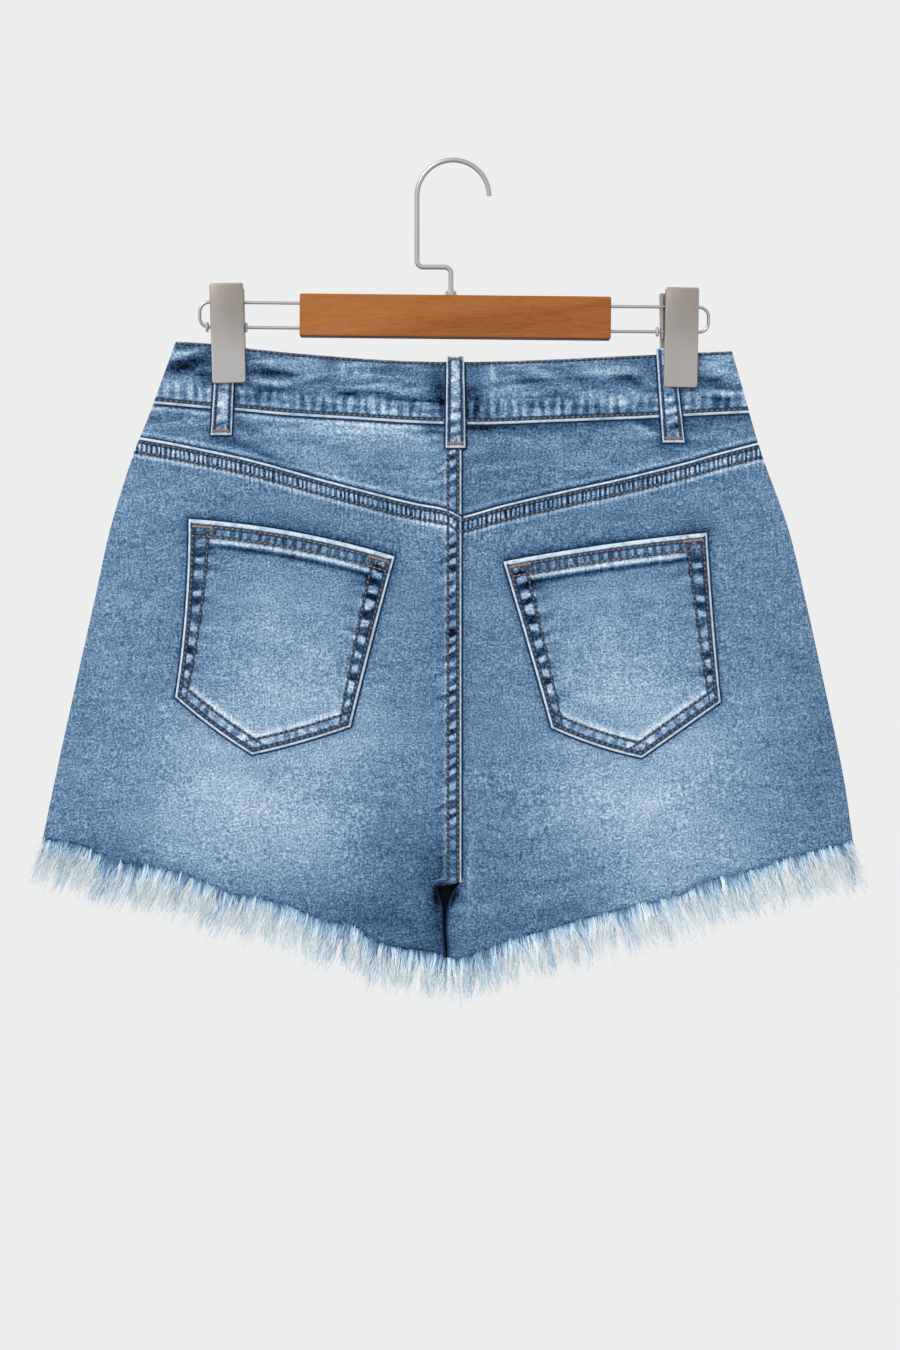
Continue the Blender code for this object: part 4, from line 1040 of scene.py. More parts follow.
def loop_corners(loop):
    """The loop's outline: top left, top right, bottom right and bottom left, as x and z."""
    top = float(waist_top(loop["x_top"], loop["facing"])) + LOOP_ABOVE
    bottom = float(waist_seam(loop["x_bottom"], loop["facing"])) - loop["below"]
    half_top, half_bottom = loop["width_top"] / 2, loop["width_bottom"] / 2
    return [
        (loop["x_top"] - half_top, top),
        (loop["x_top"] + half_top, top),
        (loop["x_bottom"] + half_bottom, bottom),
        (loop["x_bottom"] - half_bottom, bottom),
    ]


def bulge(curve, share):
    return curve * 4 * share * (1 - share)


def inward(corners, x, z, curves=(0.0,) * 5):
    """For each edge of a shape with corners: how far in from it a place is, and how far along it."""
    middle = np.mean(corners, axis=0)
    found = []
    for (x0, z0), (x1, z1), curve in zip(corners, corners[1:] + corners[:1], curves):
        length = math.hypot(x1 - x0, z1 - z0)
        ax, az = (x1 - x0) / length, (z1 - z0) / length
        turn = math.copysign(1, (middle[1] - z0) * ax - (middle[0] - x0) * az)
        along = (x - x0) * ax + (z - z0) * az
        straight = ((z - z0) * ax - (x - x0) * az) * turn
        found.append((straight + bulge(curve, np.clip(along / length, 0.0, 1.0)), along))
    return found


def covered(wear, corners, x, z, curves=(0.0,) * 5):
    """A shape with corners that lies on top."""
    lapped(wear, -np.min([distance for distance, _ in inward(corners, x, z, curves)], axis=0))


def loops_over(wear, x, z, facing):
    for loop in LOOPS.rows:
        if loop["facing"] == facing:
            covered(wear, loop_corners(loop), x, z)


def band_worn(facing):
    def worn(x, z):
        wear = fresh(x)
        up = z - waist_seam(x, facing) - HALF_GAP
        style = {"pucker": 0.48, "level": PIPE_RISE, "level_width": BAND_PIPE, "broad": 1.15}
        fold(wear, up, x / BAND_PERIOD, (BAND_ROW,), BAND_PUCKER, **style)
        for middle, width, shade in BAND_RIBS:
            banded(wear, up, middle, width, shade)
        down = waist_top(x, facing) - z
        rolled(wear, down)
        wear["seam"] = np.minimum(wear["seam"], abs(down - BAND_TOP_ROW) + TOP_ROW)
        rolled(wear, x - SIDES.smooth(z, LEFT), SIDE_ROLL)
        rolled(wear, SIDES.smooth(z, RIGHT) - x, SIDE_ROLL)
        loops_over(wear, x, z, facing)
        return wear

    return worn


BAND_WIDTH = 400.0
BAND_HEIGHT = 44.0
band_across = spread(BAND_WIDTH, 2.0, (0, 2.0, 0.5), (BAND_WIDTH - 2, BAND_WIDTH, 0.5))
band_down = spread(BAND_HEIGHT, 2.0, (0, 3, 0.5), (BAND_HEIGHT - 6, BAND_HEIGHT, 0.6))
worn = band_worn(BACK)
back_band, face = cloth(
    "waistband_back", band_back, band_across, band_down, BACK, WAISTBAND_WALL, worn, mottle=0.28, pale=0.015
)


def across_at(height, start, end, step=4.0):
    """A path that follows a height given as a function of x."""
    x = np.linspace(start, end, max(2, round(abs(end - start) / step)))
    return np.stack((x, height(x)), axis=-1)


def band_rows(facing, start, end):
    """The waistband's upper and lower rows of stitches."""
    upper = across_at(lambda x: waist_top(x, facing) - BAND_TOP_ROW, start[0], end[0])
    lower = across_at(lambda x: waist_seam(x, facing) + BAND_ROW, start[1], end[1])
    return (upper, "edge", TONE_EDGE), (lower, "lock", TONE_SEAM)


sew("sewing_waistband_back", face, *band_rows(BACK, BAND_SEWN[LEFT], BAND_SEWN[RIGHT]))

# ---- front waistband -----------------------------------------------------------------------------------
# The same band in two halves, which button over each other at the centre front. It is cut lower than the
# back. A buttonhole is worked in the left half, close to its end.

FRONT_WASH_AND_SHADE = Table(
    "x z turn length width shade",
    # thighs and the stomach: worn pale
    (-128, -345, 82, 95, 46.0, 0.15),
    (126, -350, 98, 95, 46.0, 0.15),
    (-120, -450, 90, 44, 40.0, 0.07),
    (122, -452, 90, 44, 40.0, 0.07),
    (-60, -230, 0, 60, 24.0, 0.05),
    (70, -232, 0, 60, 24.0, 0.05),
    # darker: the sides and hem, and painted shade at the crotch
    (-235, -400, 78, 90, 24.0, -0.06),
    (232, -400, 102, 90, 24.0, -0.06),
    (-4, -500, 90, 50, 34.0, -0.13),
    (-70, -520, -12, 60, 12.0, -0.07),
    (70, -520, 12, 60, 12.0, -0.07),
)
FRONT_CREASES = Table(
    "x z turn length width shade lift",
    # sitting creases that fan out from the crotch, paler on their crests and with painted shade in their
    # folds
    (-58, -452, 28, 40, 3.4, -0.10, -0.5),
    (-66, -430, 24, 48, 4.0, 0.07, 0.4),
    (-80, -408, 18, 52, 3.6, -0.09, -0.4),
    (-96, -386, 12, 46, 4.0, 0.05, 0.3),
    (54, -450, -27, 40, 3.6, -0.10, -0.5),
    (64, -428, -22, 46, 4.0, 0.07, 0.4),
    (82, -404, -17, 50, 3.4, -0.09, -0.4),
    (92, -384, -12, 44, 4.0, 0.05, 0.3),
    # waistband streaks, with painted shade in their folds
    (-150, -158, 6, 30, 3.4, -0.18, -0.4),
    (-118, -170, -4, 36, 3.0, -0.12, -0.3),
    (-60, -176, 3, 40, 3.6, 0.08, 0.2),
    (-46, -186, -3, 34, 2.6, -0.14, -0.3),
    (52, -168, 4, 42, 3.2, -0.14, -0.3),
    (66, -182, -2, 38, 3.0, 0.07, 0.2),
    (120, -160, -8, 34, 3.4, -0.17, -0.4),
    (160, -154, -4, 26, 3.2, -0.14, -0.3),
)
MARKS[FRONT] = (FRONT_WASH_AND_SHADE, FRONT_CREASES)

CENTRE_FRONT = 0.0
BAND_END_ROW = 2.0
BAND_END_WIDTH = 4.0
BAND_END_SEWN = 2.4
BAND_HALF = BAND_WIDTH / 2
front_across = spread(BAND_HALF, 2.2, (0, 2.0, 0.5), (BAND_HALF - 2, BAND_HALF, 0.5))
for side, shift, start, end in (
    (LEFT, -HALF_GAP, BAND_SEWN[LEFT], (-BAND_END_SEWN,) * 2),
    (RIGHT, HALF_GAP, (BAND_END_SEWN,) * 2, BAND_SEWN[RIGHT]),
):

    def end_worn(x, z, side=side):
        wear = band_worn(FRONT)(x, z)
        if side == LEFT:
            fold(wear, CENTRE_FRONT - x, z / BAND_PERIOD, (BAND_END_ROW,), BAND_END_WIDTH, pucker=0.4)
        else:
            lapped(wear, x - CENTRE_FRONT)
        return wear

    name = f"waistband_front_{side}"
    place = band_half(side, FRONT, CENTRE_FRONT + shift)
    half_band, face = cloth(
        name, place, front_across, band_down, FRONT, WAISTBAND_WALL, end_worn, mottle=0.36
    )
    sew(f"sewing_{name}", face, *band_rows(FRONT, start, end))
    if side == LEFT:
        left_face = face

# ---- yokes ---------------------------------------------------------------------------------------------
# Two shaped pieces between the waistband and the back panels. The left one's folded edge laps the right
# one at the centre back, sewn down with two rows.

PANEL_WALL = 1.3

# The felled seam at the centre back: its rows of stitches, its width, how far apart its puckers are and
# how they slant, and the pale band beside it as distance, width and shade. FELL_ABOVE is such a band too,
# above the yoke's seam.
FELL_ABOVE = (3.5, 1.3, 0.22)
SLOPE = 0.97  # the distance across a yoke's sloping seam, as a share of the one straight down
CENTRE_ROWS = (2.4, 9.4)
CENTRE_WIDTH = 9.9
CENTRE_PERIOD = 8.6
CENTRE_SLANT = 0.45
CENTRE_FADE = (-455.0, -475.0)  # heights between which its gathers fade
CENTRE_BAND = (11.2, 0.9, 0.10)

YOKE_LEFT = Table(
    "x z",
    (-221.0, -192.2),
    (-214.0, -193.4),
    (-190.5, -197.7),
    (-143.0, -207.9),
    (-96.0, -220.9),
    (-49.3, -233.2),
    (-26.0, -238.8),
    (-5.6, -242.7),
    (5.9, -248.3),
)
YOKE_RIGHT = Table(
    "x z",
    (5.9, -248.3),
    (12.9, -246.5),
    (34.3, -240.3),
    (77.4, -230.2),
    (120.2, -220.8),
    (163.4, -209.9),
    (184.9, -203.6),
    (213.0, -196.2),
)


def patch(top, bottom, outer, inner):
    """The surface between four edges, each a function of a share, as a function of two shares."""
    corners = [edge(share) for edge in (top, bottom) for share in (0.0, 1.0)]

    def place(u, v):
        point = []
        for k in (0, 1):
            edges = mix(top(u)[k], bottom(u)[k], v) + mix(outer(v)[k], inner(v)[k], u)
            ends = [corner[k] for corner in corners]
            point.append(edges - mix(mix(ends[0], ends[1], u), mix(ends[2], ends[3], u), v))
        return point

    return place


def side_line(side, z_top, z_bottom):
    """A side seam between two heights."""

    def line(v):
        z = mix(z_top, z_bottom, v)
        return SIDES.smooth(z, side), z

    return line


def cross_line(height_at, x_side, x_centre):
    """A seam or hem from the side to the centre, at a height given as a function of x."""

    def line(u):
        x = mix(x_side, x_centre, u)
        return x, height_at(x)

    return line


def centre_fell(wear, x, z):
    """The felled seam at the centre back: the left pieces lap the right ones."""
    along = z / CENTRE_PERIOD + (CENTRE_BACK - x) * CENTRE_SLANT / CENTRE_PERIOD
    gathered = 1 - 0.65 * ease(*CENTRE_FADE, z)
    style = {"pucker": gathered, "level": FELL_RISE, "broad": 0.85}
    fold(wear, CENTRE_BACK - x, along, CENTRE_ROWS, CENTRE_WIDTH, **style)
    banded(wear, CENTRE_BACK - x, *CENTRE_BAND)


def upright(x, ends):
    """A sewn line straight down between two heights."""
    return [(x, z) for z in ends]


def yoke_place(side, rows, centre):
    """A yoke between the waistband's seam, its own seam, its side seam and the centre."""
    seam_z, low_z = WAIST_SEAM.end(side)["z"] - HALF_GAP, rows.end(side)["z"] + HALF_GAP
    seam_x, low_x = SIDES.smooth(seam_z, side), SIDES.smooth(low_z, side)
    centre_top = waist_seam(centre, BACK) - HALF_GAP
    centre_bottom = rows.smooth(centre, "z") + HALF_GAP
    return patch(
        cross_line(lambda x: waist_seam(x, BACK) - HALF_GAP, seam_x, centre),
        cross_line(lambda x: rows.smooth(x, "z") + HALF_GAP, low_x, centre),
        side_line(side, seam_z, low_z),
        lambda v: (centre, mix(centre_top, centre_bottom, v)),
    )


YOKE_ACROSS = 215.0
YOKE_DOWN = 50.0
YOKE_SEWN = (-199.0, -247.0)  # the centre rows' ends
YOKE_PALE = {LEFT: 0.02, RIGHT: -0.015}
BELOW_BAND = {LEFT: (3.3, 1.4, 0.22), RIGHT: (2.4, 2.0, -0.14)}  # pale seam at the left, painted shadow at the right
yoke_across = spread(YOKE_ACROSS, 2.4, (0, 2.0, 0.5), (YOKE_ACROSS - 12.6, YOKE_ACROSS, 0.8))
yoke_down = spread(YOKE_DOWN, 2.2, (0, 6.0, 0.8), (YOKE_DOWN - 6, YOKE_DOWN, 0.8))
for side, rows, shift, area in (
    (LEFT, YOKE_LEFT, -HALF_GAP, 0.0104),
    (RIGHT, YOKE_RIGHT, HALF_GAP, 0.0095),
):

    def worn(x, z, side=side, rows=rows):
        wear = fresh(x)
        lapped(wear, waist_seam(x, BACK) - z)
        lapped(wear, z - rows.smooth(x, "z"))
        banded(wear, (z - rows.smooth(x, "z")) * SLOPE, *FELL_ABOVE)
        banded(wear, waist_seam(x, BACK) - z, *BELOW_BAND[side])
        if side == LEFT:
            centre_fell(wear, x, z)
        else:
            lapped(wear, x - CENTRE_BACK)
        rolled(wear, abs(SIDES.smooth(z, side) - x), SIDE_ROLL)
        loops_over(wear, x, z, BACK)
        return wear

    name = f"yoke_{side}"
    place = yoke_place(side, rows, CENTRE_BACK + shift)
    pale = YOKE_PALE[side]
    yoke, face = cloth(
        name, place, yoke_across, yoke_down, BACK, PANEL_WALL, worn, mottle=0.12, pale=pale
    )
    if side == LEFT:
        paths = [upright(CENTRE_BACK - row, YOKE_SEWN) for row in CENTRE_ROWS]
        sew("sewing_yokes", face, *((path, "lock", TONE_SEAM) for path in paths))

# ---- back panels ---------------------------------------------------------------------------------------
# The two large panels, from the yoke down to the raw hem. Each laps its yoke with a felled seam, and the
# left one laps the right at the centre back down to the crotch, where both turn into the inseams.

HEM_LEFT = Table(
    "x z",
    (-287.5, -474.2),
    (-260.0, -478.4),
    (-238.0, -488.6),
    (-185.0, -499.4),
    (-156.0, -510.8),
    (-118.0, -519.4),
    (-90.0, -530.5),
    (-68.0, -535.0),
    (-56.0, -545.0),
    (-25.0, -552.3),
    (-4.0, -557.5),
)
HEM_RIGHT = Table(
    "x z",
    (-4.0, -557.0),
    (3.0, -558.6),
    (42.0, -544.0),
    (72.0, -534.8),
    (114.0, -523.5),
    (158.0, -512.8),
    (174.0, -504.4),
    (208.0, -495.6),
    (232.0, -488.0),
    (280.0, -476.4),
)

SLIT_HALF = 0.2  # the legs hang this far to each side of the inseam's middle, below the crotch
INNER_BACK_LEFT = Table(
    "z x",
    (-248.5, CENTRE_BACK - HALF_GAP),
    (-503.5, CENTRE_BACK - HALF_GAP),
    (-506.8, -8.6),
    (-508.8, -10.3),
    (-512.0, -10.0),
    (-516.0, -8.4),
    (-522.0, -7.1),
    (-530.0, -6.7),
    (-540.0, -6.4),
    (-550.0, -5.6),
    (-557.5, INSEAM - SLIT_HALF),
)
INNER_BACK_RIGHT = Table(
    "z x",
    (-248.5, CENTRE_BACK + HALF_GAP),
    (-502.0, CENTRE_BACK + 0.4),
    (-505.0, 4.2),
    (-507.5, 2.2),
    (-510.5, -0.2),
    (-516.0, -2.6),
    (-521.0, -3.9),
    (-530.0, -4.9),
    (-540.0, -5.0),
    (-550.0, -4.2),
    (-557.5, INSEAM + SLIT_HALF),
)

# The pockets' corners as x and z, and how far the edges between them curve outwards: top, inner, inner
# bottom, outer bottom, outer.
POCKETS = Table(
    "name outer_top inner_top inner_bottom point outer_bottom curves",
    (
        "pocket_left",
        (-184.3, -250.0),
        (-40.7, -276.2),
        (-71.4, -394.8),
        (-139.9, -414.1),
        (-193.5, -374.1),
        (4.2, -0.5, 1.2, 1.5, -2.5),
    ),
    (
        "pocket_right",
        (177.0, -259.6),
        (35.1, -279.8),
        (68.6, -395.6),
        (131.5, -416.4),
        (186.4, -377.6),
        (1.7, -0.3, 1.9, 0.0, -0.7),
    ),
)
# The felled seams under the yokes: their rows of stitches, their width, how far apart their puckers are,
# and the pale bands over them as distance, width and shade.
FELL_ROWS = (3.0, 10.4)
FELL_WIDTH = 10.9
FELL_PERIOD = 3.3
FELL_BANDS = ((6.7, 2.4, 0.14), (12.8, 1.5, 0.26))
FELL_SEWN = {LEFT: -219.0, RIGHT: 211.0}  # x of their rows' outer ends
FELL_SEWN_TO = 5.0  # and of their inner ends

POCKET_SHADE = 0.16  # a pocket's open top shades the cloth above it
POCKET_SHADED = 3.0  # and reaches this far
MOUTH_START = (-6.0, 4.0)  # the shade sets in and ends between these distances along the top
MOUTH_END = (140.0, 150.0)
CROTCH_END = -506.0  # the centre seam ends here and the legs part
LAP_END = CROTCH_END + 4
SLIT_TOP = CROTCH_END - 2
HEM_CUT = 5.0
HEM_ROLL = 0.5
INSEAM_ROLL = 0.7
CENTRE_SEWN = (-261.0, -503.0)


def share_down(z, z_top, z_bottom):
    return (z - z_top) / (z_bottom - z_top)


def panel_place(side, top_height, hem_height, top_z, hem_z, inner):
    """A panel between its top seam, its hem, its side seam and its centre seam with the inseam."""
    top_x, hem_x = SIDES.smooth(top_z, side), SIDES.smooth(hem_z, side)
    x_top, x_hem = inner.rows[0]["x"], inner.rows[-1]["x"]
    z_top, z_hem = float(top_height(x_top)), float(hem_height(x_hem))

    def inner_line(v):
        z = mix(z_top, z_hem, v)
        return inner.straight(z, "x"), z

    place = patch(
        cross_line(top_height, top_x, x_top),
        cross_line(hem_height, hem_x, x_hem),
        side_line(side, top_z, hem_z),
        inner_line,
    )
    marks = [share_down(row["z"], z_top, z_hem) for row in inner.rows[1:-1]]
    return place, marks


def pocket_corners(pocket):
    return [pocket[key] for key in POCKETS.columns[1:-1]]


def hem_worn(wear, distance):
    """The raw hem: darker where it was cut, and thinned."""
    wear["dark"] = np.maximum(wear["dark"], 1 - ease(0.0, HEM_CUT, distance))
    rolled(wear, distance, HEM_ROLL)


def unsewn(wear, where):
    """Takes the marks of a seam away again."""
    for mark in ("ridge", "pucker", "seam", "level", "bands"):
        off = FAR if mark in ("ridge", "seam") else 0.0
        wear[mark] = np.where(where, off, wear[mark])


def back_worn(side, yoke, hem, inner):
    def worn(x, z):
        wear = fresh(x)
        if side == LEFT:
            centre_fell(wear, x, z)
            unsewn(wear, z < CROTCH_END)
        else:
            lapped(wear, np.where(z > LAP_END, x - CENTRE_BACK, FAR))
        down = (yoke.smooth(x, "z") - z) * SLOPE
        fold(wear, down, x / FELL_PERIOD, FELL_ROWS, FELL_WIDTH, pucker=1.05, level=FELL_RISE)
        for band in FELL_BANDS:
            banded(wear, down, *band)
        hem_worn(wear, z - hem.smooth(x, "z"))
        rolled(wear, abs(SIDES.smooth(z, side) - x), SIDE_ROLL)
        inseam = inner.straight(z, "x") - x
        rolled(wear, np.where(z < CROTCH_END, abs(inseam), FAR), INSEAM_ROLL)
        lapped(wear, np.where(z < SLIT_TOP, abs(inseam) - SLIT_HALF, FAR))
        for pocket in POCKETS.rows:
            corners = pocket_corners(pocket)
            covered(wear, corners, x, z, pocket["curves"])
            above, along = inward(corners, x, z, pocket["curves"])[0]
            inside = ease(*MOUTH_START, along) * (1 - ease(*MOUTH_END, along))
            banded(wear, above, 0.0, POCKET_SHADED, -POCKET_SHADE * inside)
        loops_over(wear, x, z, BACK)
        return wear

    return worn


PANEL_ACROSS = 265.0
PANEL_DOWN = 330.0
panel_across = spread(PANEL_ACROSS, 3.0, (0, 2.1, 0.7), (PANEL_ACROSS - 13, PANEL_ACROSS, 0.8))
panel_lines = spread(PANEL_DOWN, 3.0, (0, 17.0, 0.9), (PANEL_DOWN - 4, PANEL_DOWN, 1.0))
fringe_roots = {}
for side, yoke, hem, inner, area in (
    (LEFT, YOKE_LEFT, HEM_LEFT, INNER_BACK_LEFT, 0.0840),
    (RIGHT, YOKE_RIGHT, HEM_RIGHT, INNER_BACK_RIGHT, 0.0810),
):
    name = f"back_{side}"
    place, marks = panel_place(
        side,
        lambda x, yoke=yoke: yoke.smooth(x, "z") - HALF_GAP,
        lambda x, hem=hem: hem.smooth(x, "z"),
        yoke.end(side)["z"] - HALF_GAP,
        hem.end(side)["z"],
        inner,
    )
    down = np.unique(np.concatenate((panel_lines, marks)))
    worn = back_worn(side, yoke, hem, inner)
    panel, face = cloth(name, place, panel_across, down, BACK, PANEL_WALL, worn)
    fringe_roots[name] = place
    paths = [
        across_at(lambda x: yoke.smooth(x, "z") - row / SLOPE, FELL_SEWN[side], FELL_SEWN_TO)
        for row in FELL_ROWS
    ]
    if side == LEFT:
        paths += [upright(CENTRE_BACK - row, CENTRE_SEWN) for row in CENTRE_ROWS]
    sew(f"sewing_{name}", face, *((path, "lock", TONE_SEAM) for path in paths))

# ---- front panels --------------------------------------------------------------------------------------
# The two fronts, plain from the waistband to the raw hem. The left one laps the right at the fly, which
# is closed, sewn in the usual curve and barred at its foot.

INSEAM_FRONT = INSEAM + 1.6
CLOSE = 0.0005  # the seams meet without a gap that could be looked through
INNER_FRONT = {
    side: Table(
        "z x",
        (-190.0, CENTRE_FRONT + k * HALF_GAP),
        (-470.0, CENTRE_FRONT + k * HALF_GAP),
        (-490.0, CENTRE_FRONT + k * CLOSE),
        (-525.0, CENTRE_FRONT + k * CLOSE),
        (-536.0, INSEAM_FRONT + k * CLOSE),
        (-557.5, INSEAM_FRONT + k * SLIT_HALF),
    )
    for side, k in ((LEFT, -1), (RIGHT, 1))
}
FRONT_HEM_RISE = 4.0
FRONT_ROW = 3.0
FRONT_WIDTH = 4.5
FRONT_SEAM_TOP = -197.0
FRONT_SEAM_END = -496.0
FLY_WIDTH = 34.0
FLY_FOOT = -338.0
FLY_CURVE = 46.0
FLY_END = -4.0
FLY_LINE_GAP = 5.5
FLY_BARS = (((-3.0, -340.0), (-9.0, -334.0)), ((-26.0, -300.0), (-20.0, -306.0)))
TONE_FLY = 0.42
TONE_LAP = 0.36
TONE_FLY_BAR = 0.95


def front_hem(rows, x):
    """The front's hem, which rises a little from the back's between its ends."""
    low, high = rows.rows[0]["x"], rows.rows[-1]["x"]
    share = np.clip((x - low) / (high - low), 0.0, 1.0)
    return rows.smooth(x, "z") + FRONT_HEM_RISE * np.sin(math.pi * share)


def front_worn(side, hem):
    def worn(x, z):
        wear = fresh(x)
        lapped(wear, waist_seam(x, FRONT) - z)
        if side == LEFT:
            along = z / CENTRE_PERIOD
            fold(wear, CENTRE_FRONT - x, along, (FRONT_ROW,), FRONT_WIDTH, pucker=0.8, level=FELL_RISE)
            unsewn(wear, z < FRONT_SEAM_END)
        else:
            lapped(wear, x - CENTRE_FRONT)
        hem_worn(wear, z - front_hem(hem, x))
        rolled(wear, abs(SIDES.smooth(z, side) - x), SIDE_ROLL)
        loops_over(wear, x, z, FRONT)
        return wear

    return worn


def fly_row(inset):
    """A row of the fly's stitching: down beside the lap, then in a curve to its foot."""
    out = -(FLY_WIDTH - inset)
    foot = FLY_FOOT + inset
    path = [(out, FRONT_SEAM_TOP), (out, foot + FLY_CURVE)]
    for k in range(1, 10):
        turn = math.pi / 2 * k / 10
        path.append((out * math.cos(turn), foot + FLY_CURVE * (1 - math.sin(turn))))
    return path + [(FLY_END, foot)]


front_lines = spread(PANEL_DOWN, 3.4, (0, 3, 1.0), (PANEL_DOWN - 4, PANEL_DOWN, 1.0))
for side, hem, area in ((LEFT, HEM_LEFT, 0.0960), (RIGHT, HEM_RIGHT, 0.0930)):
    name = f"front_{side}"
    place, marks = panel_place(
        side,
        lambda x: waist_seam(x, FRONT) - HALF_GAP,
        lambda x, hem=hem: front_hem(hem, x),
        WAIST_SEAM.end(side)["z"] - HALF_GAP,
        hem.end(side)["z"],
        INNER_FRONT[side],
    )
    down = np.unique(np.concatenate((front_lines, marks)))
    panel, face = cloth(name, place, panel_across, down, FRONT, PANEL_WALL, front_worn(side, hem))
    band = f"waistband_front_{side}_cloth"
    fringe_roots[name] = place
    if side == LEFT:
        lap = upright(CENTRE_FRONT - FRONT_ROW, (FRONT_SEAM_TOP, FRONT_SEAM_END))
        sew(
            "sewing_fly",
            face,
            *((fly_row(inset), "lock", TONE_FLY) for inset in (0.0, FLY_LINE_GAP)),
            (lap, "lock", TONE_LAP),
            *((bar, "tack", TONE_FLY_BAR) for bar in FLY_BARS),
        )

# ---- patch pockets -------------------------------------------------------------------------------------
# Five-cornered patches on the back panels, hemmed along the top in paler thread, turned in and sewn down
# with two rows along the other edges, and boxed at the top corners.

POCKET_WALL = 1.2
POCKET_LIFT = PANEL_WALL + GAP

# The rows of stitches along the top and the other edges, the bands beside them as distance, width and
# shade, and for each edge how far apart its puckers are and how strong.
POCKET_TOP_ROWS = (4.4, 11.2)
POCKET_ROWS = (3.0, 9.9)
POCKET_SPLAY = (14.2, 7.8)  # how far in the side seams' inner row is at the top, and at the bottom
# the second top band is a painted shadow below the hem's worn fold
POCKET_TOP_BANDS = ((14.2, 1.6, 0.40), (17.7, 1.8, -0.36))
POCKET_LOW_BAND = (12.3, 1.9, 0.20)
POCKET_PERIODS = (6.2, 11.4, 8.0, 8.0, 11.4)
POCKET_PUCKERS = (0.60, 1.15, 0.50, 0.50, 1.15)
POCKET_FOLDS = (1.9, 0.9, 0.9, 0.9, 0.9)  # how broad the worn line of each is
POCKET_SHIFT = 7.3  # each edge's puckers start elsewhere
POCKET_TURNED = 0.5  # the turned-in cloth ends this far beyond the second row
POCKET_BAND_START = (8.0, 12.0)  # the bands start between these distances from the side edges
POCKET_BOX = 14.0  # the length of the boxed stitching at the top corners
TONE_POCKET = 0.32
TONE_POCKET_TOP = 0.48
TONE_BOX = 0.42
TONE_BOX_BAR = 0.88


def curved(start, end, curve, middle):
    """The line from start to end, which curves away from the pocket's middle."""
    start, end = np.array(start), np.array(end)
    outward = unit(np.array((end[1] - start[1], start[0] - end[0])))
    outward = outward * math.copysign(1, np.dot((start + end) / 2 - middle, outward))
    return lambda t: [mix(start[k], end[k], t) + bulge(curve, t) * outward[k] for k in (0, 1)]


def pocket_place(corners, curves):
    """A pocket's surface, and how far across it the point at its foot is."""
    middle = np.mean(corners, axis=0)
    outer_top, inner_top, inner_bottom, point, outer_bottom = corners
    top, inner, inner_low, outer_low, outer = curves
    outer_run = math.dist(point, outer_bottom)
    point_at = outer_run / (outer_run + math.dist(inner_bottom, point))

    def bottom(u):
        outer_part = curved(outer_bottom, point, outer_low, middle)(u / point_at)
        inner_part = curved(point, inner_bottom, inner_low, middle)((u - point_at) / (1 - point_at))
        return [np.where(u <= point_at, a, b) for a, b in zip(outer_part, inner_part)]

    place = patch(
        curved(outer_top, inner_top, top, middle),
        bottom,
        curved(outer_top, outer_bottom, outer, middle),
        curved(inner_top, inner_bottom, inner, middle),
    )
    return place, point_at


def inset(corners, distances):
    """A shape's corners with each edge moved in by its own distance."""
    middle = np.mean(corners, axis=0)
    lines = []
    for (x0, z0), (x1, z1), distance in zip(corners, corners[1:] + corners[:1], distances):
        along = unit(np.array((x1 - x0, z1 - z0)))
        inner = np.array((-along[1], along[0]))
        inner = inner * math.copysign(1, np.dot(middle - (x0, z0), inner))
        lines.append((np.array((x0, z0)) + inner * distance, along))
    moved = []
    for (p, a), (q, b) in zip(lines[-1:] + lines[:-1], lines):
        shares = np.linalg.solve(np.stack((a, -b), axis=-1), q - p)
        moved.append(tuple(p + shares[0] * a))
    return moved


def path_between(start, end, curve, middle):
    """A sewn line between two of a pocket's corners."""
    return np.stack(curved(start, end, curve, middle)(np.linspace(0.0, 1.0, 25)), axis=-1)


def pocket_worn(corners, curves):
    def worn(x, z):
        wear = fresh(x)
        edges = inward(corners, x, z, curves)
        first, second = POCKET_ROWS
        for k, end in ((1, 0.0), (4, 1.0)):
            distance, along = edges[k]
            down = abs(end - np.clip(along / math.dist(corners[k], corners[(k + 1) % 5]), 0.0, 1.0))
            drawn = first + (distance - first) * (second - first) / (mix(*POCKET_SPLAY, down) - first)
            edges[k] = np.where(distance > first, drawn, distance), along
        nearest = np.argmin([distance for distance, _ in edges], axis=0)
        inner_part = ease(*POCKET_BAND_START, np.minimum(edges[1][0], edges[4][0]))
        for k, (distance, along) in enumerate(edges):
            rows = POCKET_TOP_ROWS if k == 0 else POCKET_ROWS
            own = fresh(x)
            run = along / POCKET_PERIODS[k] + POCKET_SHIFT * k
            style = {"pucker": POCKET_PUCKERS[k], "level": PIPE_RISE, "broad": POCKET_FOLDS[k]}
            fold(own, distance, run, rows, rows[1] + POCKET_TURNED, **style)
            for band in {0: POCKET_TOP_BANDS, 2: (POCKET_LOW_BAND,), 3: (POCKET_LOW_BAND,)}.get(k, ()):
                banded(own, distance, *band)
            own["bands"] = own["bands"] * inner_part
            for mark in ("ridge", "run", "pucker"):
                wear[mark] = np.where(nearest == k, own[mark], wear[mark])
            for mark in ("level", "roll"):
                wear[mark] = np.maximum(wear[mark], own[mark])
            wear["seam"] = np.minimum(wear["seam"], own["seam"])
            wear["bands"] = np.where(abs(own["bands"]) > abs(wear["bands"]), own["bands"], wear["bands"])
        return wear

    return worn


